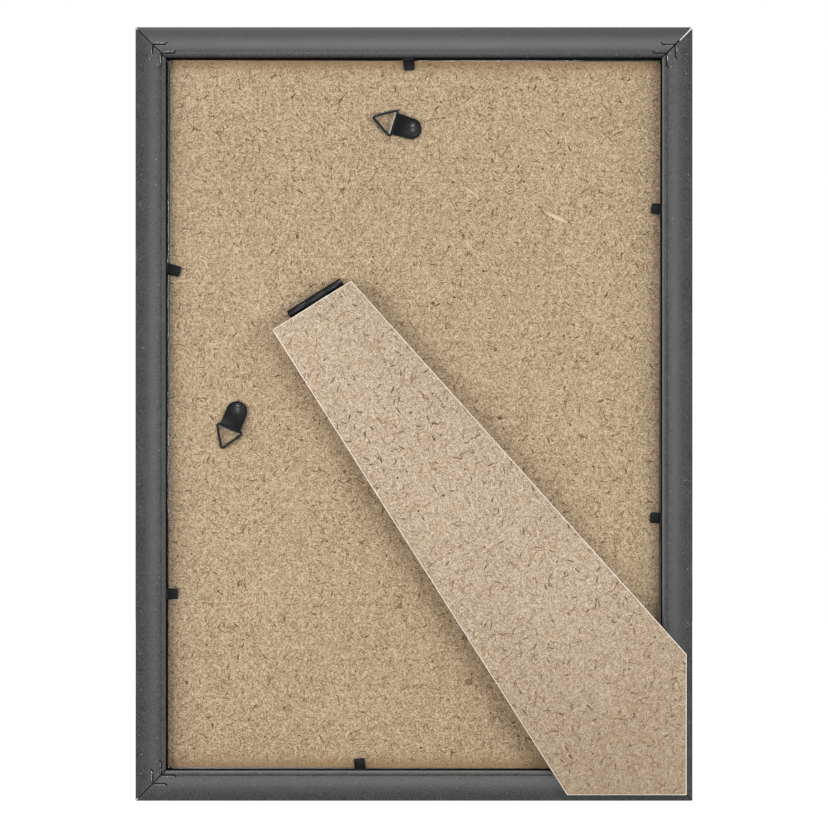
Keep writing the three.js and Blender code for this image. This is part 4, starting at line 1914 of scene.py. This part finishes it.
@dataclass
class Studio:
    """The camera, the lamps, the pale floor and the white surroundings."""

    distance: float = 1.5
    pixel: float = 0.4245 * MM
    picture: int = 828
    sensor: float = 36.0
    floor_size: float = 2.6
    floor_cuts: int = 3
    floor_cloud: float = 300.0
    floor_mottle: float = 1.03
    floor_colour: Colour = (0.75, 0.75, 0.745)
    floor_white: float = 1.5
    floor_share: float = 0.64
    glow: float = 0.05
    lamps: tuple[Softbox, ...] = (
        Softbox("left_softbox", -61, 1, 1.4, (1.1, 0.5), 19.3, Beam.SOFT),
        Softbox("right_softbox", 61, 1, 1.4, (1.1, 0.5), 16.6, Beam.SOFT),
        Softbox("top_softbox", 0, 58, 1.9, (0.9, 0.9), 8.7),
        Softbox("top_lamp", -6, 50, 1.5, (0.3, 0.3), 9.5, Beam.GLINT),
        Softbox("camera_lamp", 0, 2, 1.45, (0.28, 0.28), 9.5, Beam.GLINT),
        Softbox("front_left_fill", -148, 20, 1.7, (0.8, 0.8), 14.0, Beam.SOFT),
        Softbox("front_right_fill", 148, 20, 1.7, (0.8, 0.8), 11.0, Beam.SOFT),
    )

    def camera(self, stance: Stance) -> None:
        """Put the camera square to the frame's back, as far off as the photograph's.

        Args:
            stance: Where the frame is.
        """
        lens = bpy.data.cameras.new("camera")
        lens.sensor_width = self.sensor
        lens.lens = self.sensor * self.distance / (self.picture * self.pixel)
        holder = bpy.data.objects.new("camera", lens)
        bpy.context.scene.collection.objects.link(holder)
        view = axes_matrix(Vector((-1, 0, 0)), Vector((0, 0, 1)), Vector())
        view.translation = stance.frame @ Vector((0, self.distance, 0))
        holder.matrix_world = view
        bpy.context.scene.camera = holder

    @staticmethod
    def seen(tree: Tree) -> bpy.types.NodeSocket:
        """Give 1 where the camera sees a surface, also in gloss or through glass, and else 0."""
        path = tree.add("LightPath").outputs
        mirrored = tree.math("MAXIMUM", path["Is Glossy Ray"], path["Is Transmission Ray"])
        return tree.math("MAXIMUM", path["Is Camera Ray"], mirrored)

    def floor(self) -> None:
        """Lay the floor, which looks white round the shadow and clear from below."""
        Bench.clear()
        bpy.ops.mesh.primitive_plane_add(size=self.floor_size)
        floor = call(bpy.context.object, "floor")
        Bench.edit(floor)
        bpy.ops.mesh.subdivide(number_cuts=self.floor_cuts)
        Bench.clear()
        made, tree, shader = Finish.start("floor", roughness=0.9, specular_ior_level=0.0)
        cloud = tree.noise(tree.solid(), self.floor_cloud, 3)
        pale = tuple(min(1.0, part * self.floor_mottle) for part in self.floor_colour)
        Finish.feed(tree, shader, base_color=tree.mix(cloud, self.floor_colour, pale))
        share = tree.math("MULTIPLY", self.seen(tree), self.floor_share)
        white = tree.add("Emission", {"Strength": self.floor_white}).outputs[0]
        lit = tree.add("MixShader", {0: share, 1: shader.outputs[0], 2: white}).outputs[0]
        camera = tree.add("LightPath").outputs["Is Camera Ray"]
        below = tree.math("MULTIPLY", camera, tree.add("NewGeometry").outputs["Backfacing"])
        clear = tree.add("BsdfTransparent").outputs[0]
        shown = tree.add("MixShader", {0: below, 1: lit, 2: clear}).outputs[0]
        output = made.node_tree.nodes["Material Output"]
        made.node_tree.links.new(shown, output.inputs["Surface"])
        dress(floor, made)

    def surroundings(self) -> None:
        """Show white to the camera, in gloss and through glass, and give a low even glow."""
        world = bpy.data.worlds.new("surroundings")
        bpy.context.scene.world = world
        world.use_nodes = True
        tree = Tree(world.node_tree)
        strength = tree.math("MULTIPLY_ADD", self.seen(tree), 1 - self.glow, self.glow)
        background = world.node_tree.nodes["Background"]
        background.inputs["Color"].default_value = (1, 1, 1, 1)
        world.node_tree.links.new(strength, background.inputs["Strength"])

    def build(self, stance: Stance) -> None:
        """Set up the whole studio."""
        self.camera(stance)
        self.floor()
        self.surroundings()
        for lamp in self.lamps:
            lamp.light(stance)
        bpy.context.scene.view_settings.view_transform = "Standard"


@dataclass
class Finishes:
    """The finishes of this frame."""

    back: Hardboard = field(
        default_factory=lambda: Hardboard(
            pale=(0.7, 0.545, 0.36),
            deep=(0.15, 0.09, 0.045),
            layers=(
                Strands((0.74, 0.59, 0.405), 2.0, 0.5, 3.8, 0.5, 0.7, 0.12, 1.3, 0.5),
                Strands((0.78, 0.64, 0.45), 4, 0.5, 7, 0.35, 0.7, 0.4, 2.9, 0.4),
                Strands((0.22, 0.122, 0.05), 1.9, 0.5, 3.6, 0.5, 0.65, 0.12, 4.7, 0.3),
                Strands((0.19, 0.1, 0.038), 2.8, 0.5, 5, 0.45, 0.75, 0.15, 9.1),
                Strands((0.11, 0.05, 0.02), 4.4, 0.42, 6, 0.3, 1.0, 0.5, 13.3),
                Strands((0.15, 0.075, 0.03), 8, 0.48, 14, 0.4, 0.9, 1.1, 21.4),
                Strands((0.032, 0.02, 0.012), 5.5, 0.11, 1.4, 0.35, 1.0, 0.3, 14.2),
                Strands((0.045, 0.03, 0.02), 24, 0.05, 1.5, 0.3, 0.9, 0.3, 17.7),
            ),
            knots=(
                Knot(-7.9, 47.2, 2.2, 1.3, 20, (0.035, 0.03, 0.025)),
                Knot(-5.6, 45.8, 1.5, 1.2, 0, (0.14, 0.11, 0.08)),
                Knot(-14.2, 47.2, 1.6, 1.5, 40, (0.08, 0.065, 0.05)),
                Knot(-60.6, 83.8, 11, 6, 24, (0.8, 0.68, 0.5), 0.7),
                Knot(-23.5, 95.0, 9, 8, 35, (0.78, 0.65, 0.46), 0.6),
            ),
            # Painted shade along the back's top and bottom edges, under the rails.
            rim=Rim(half_height=150.5, depth=5.0, share=0.7, colour=(0.3, 0.185, 0.09)),
        )
    )
    strut: Hardboard = field(
        default_factory=lambda: Hardboard(
            pale=(0.72, 0.6, 0.455),
            deep=(0.24, 0.155, 0.085),
            layers=(
                Strands((0.8, 0.69, 0.545), 2.0, 0.5, 3.8, 0.5, 0.7, 0.12, 3.3, 0.5),
                Strands((0.83, 0.73, 0.59), 4, 0.5, 7, 0.35, 0.7, 0.4, 5.9, 0.4),
                Strands((0.3, 0.155, 0.055), 1.9, 0.5, 3.6, 0.5, 0.65, 0.12, 6.7, 0.3),
                Strands((0.27, 0.125, 0.04), 2.8, 0.5, 5, 0.5, 0.75, 0.15, 12.1),
                Strands((0.11, 0.06, 0.027), 4.4, 0.42, 5, 0.35, 1.0, 0.3, 16.3),
                Strands((0.18, 0.095, 0.04), 8, 0.48, 12, 0.4, 0.8, 0.8, 24.4),
                Strands((0.44, 0.21, 0.075), 11, 0.16, 3.5, 0.3, 0.8, 0.5, 27.1),
                Strands((0.04, 0.03, 0.024), 5.5, 0.11, 1.4, 0.3, 1.0, 0.3, 17.2),
            ),
            knots=(
                Knot(-8.6, -62.6, 2.2, 1.4, 30, (0.1, 0.09, 0.08)),
                Knot(17.8, -9.3, 3.0, 2.5, 40, (0.42, 0.2, 0.07)),
            ),
            # The strut is darker towards its lower end.
            worn=WornEnd(start=-150.0, full=-250.0, share=0.3),
        )
    )
    back_edge: CutEdge = CutEdge(base=(0.45, 0.34, 0.21), deep=(0.32, 0.23, 0.14))
    strut_edge: CutEdge = CutEdge(base=(0.93, 0.87, 0.79), deep=(0.78, 0.7, 0.6))
    foil: Foil = field(
        default_factory=lambda: Foil(
            pale=(0.066, 0.066, 0.0663),
            deep=(0.008, 0.008, 0.0081),
            layers=(
                Strands((0.5, 0.5, 0.5), 7, 0.045, 1.6, 0.3, 0.8, 0.2, 2.2, 0.3),
                Strands((0.2, 0.2, 0.2), 24, 0.3, 70, 0.2, 0.6, 0.3, 7.7, -0.2),
                Strands((0.02, 0.02, 0.02), 9, 0.06, 3, 0.3, 0.6, 0.3, 12.9, -0.4),
            ),
        )
    )
    rebate: Metal = Metal(
        base=(0.012, 0.012, 0.012), rubbed=(0.022, 0.021, 0.02), roughness=0.75, gloss=0.1
    )
    black: Metal = Metal(
        base=(0.004, 0.004, 0.0044), rubbed=(0.009, 0.009, 0.0096), roughness=0.45, gloss=0.1
    )
    hinge: Metal = Metal(
        base=(0.018, 0.0184, 0.0195), rubbed=(0.034, 0.035, 0.037), roughness=0.36, metallic=1.0
    )
    rivet: Metal = Metal(
        base=(0.035, 0.035, 0.0365), rubbed=(0.07, 0.07, 0.072), roughness=0.36, metallic=1.0
    )
    wire: Metal = Metal(
        base=(0.014, 0.016, 0.019), rubbed=(0.034, 0.037, 0.043), roughness=0.38, metallic=1.0
    )
    cut: Metal = Metal(
        base=(0.004, 0.004, 0.004),
        rubbed=(0.025, 0.025, 0.025),
        roughness=0.6,
        gloss=0.1,
        grain=0.6,
    )
    glass: ClearGlass = ClearGlass()
    paper: Paper = Paper()
    torn: Paper = Paper(base=(0.8, 0.78, 0.75), deep=(0.1, 0.1, 0.1), pulp=0.7)


def dress_solids(finishes: Finishes, stance: Stance, steel: bpy.types.Material) -> None:
    """Give the solids that stay in view their materials.

    Args:
        finishes: The finishes.
        stance: Where the frame is.
        steel: The black steel.
    """
    nodes = frame["nodes"]
    cut = finishes.cut.material("cut_steel")
    for name, node in nodes.items():
        if name.startswith("v_nail"):
            dress(node, cut)
        elif "leaf_rivet" in name:
            dress(node, steel)
    dress(nodes["glass"], finishes.glass.material("clear_glass"))
    dress(nodes["picture_sheet"], finishes.paper.material("blank_paper", stance.frame))


def main() -> None:
    """Build the studio and every piece of the frame, in order."""
    logging.basicConfig(level=logging.INFO, format="%(message)s")
    moulding, hangers = Moulding(), Hangers()
    hanger_rise = moulding.opening[1] / 2 - hangers.inset
    stance = Stance({joint["name"]: joint for joint in frame["joints"]}, hanger_rise)
    finishes = Finishes()
    steel = finishes.black.material("black_steel")
    dark = finishes.rebate.material("dark_glue")
    torn = finishes.torn.material("torn_foil", stance.frame)
    nails = VNails()
    slots = partial(nails.cutter, moulding)
    pieces = moulding.build(stance, finishes.foil, finishes.rebate, slots)
    pieces += Mitres().build(stance, moulding, dark)
    pieces += nails.build(stance, moulding, torn)
    pieces += Backing().build(stance, finishes.back, finishes.back_edge)
    pieces += Tabs().build(stance, steel)
    pieces += hangers.build(stance, finishes.black, finishes.rivet, finishes.wire)
    easel = Easel()
    pieces += easel.build_hinge(stance, finishes.hinge.material("hinge_steel"))
    pieces += easel.build_strut(stance, finishes.strut, finishes.strut_edge)
    for piece in pieces:
        piece.hand_over()
    dress_solids(finishes, stance, steel)
    Studio().build(stance)
    Bench.clear()


if __name__ == "__main__":
    main()
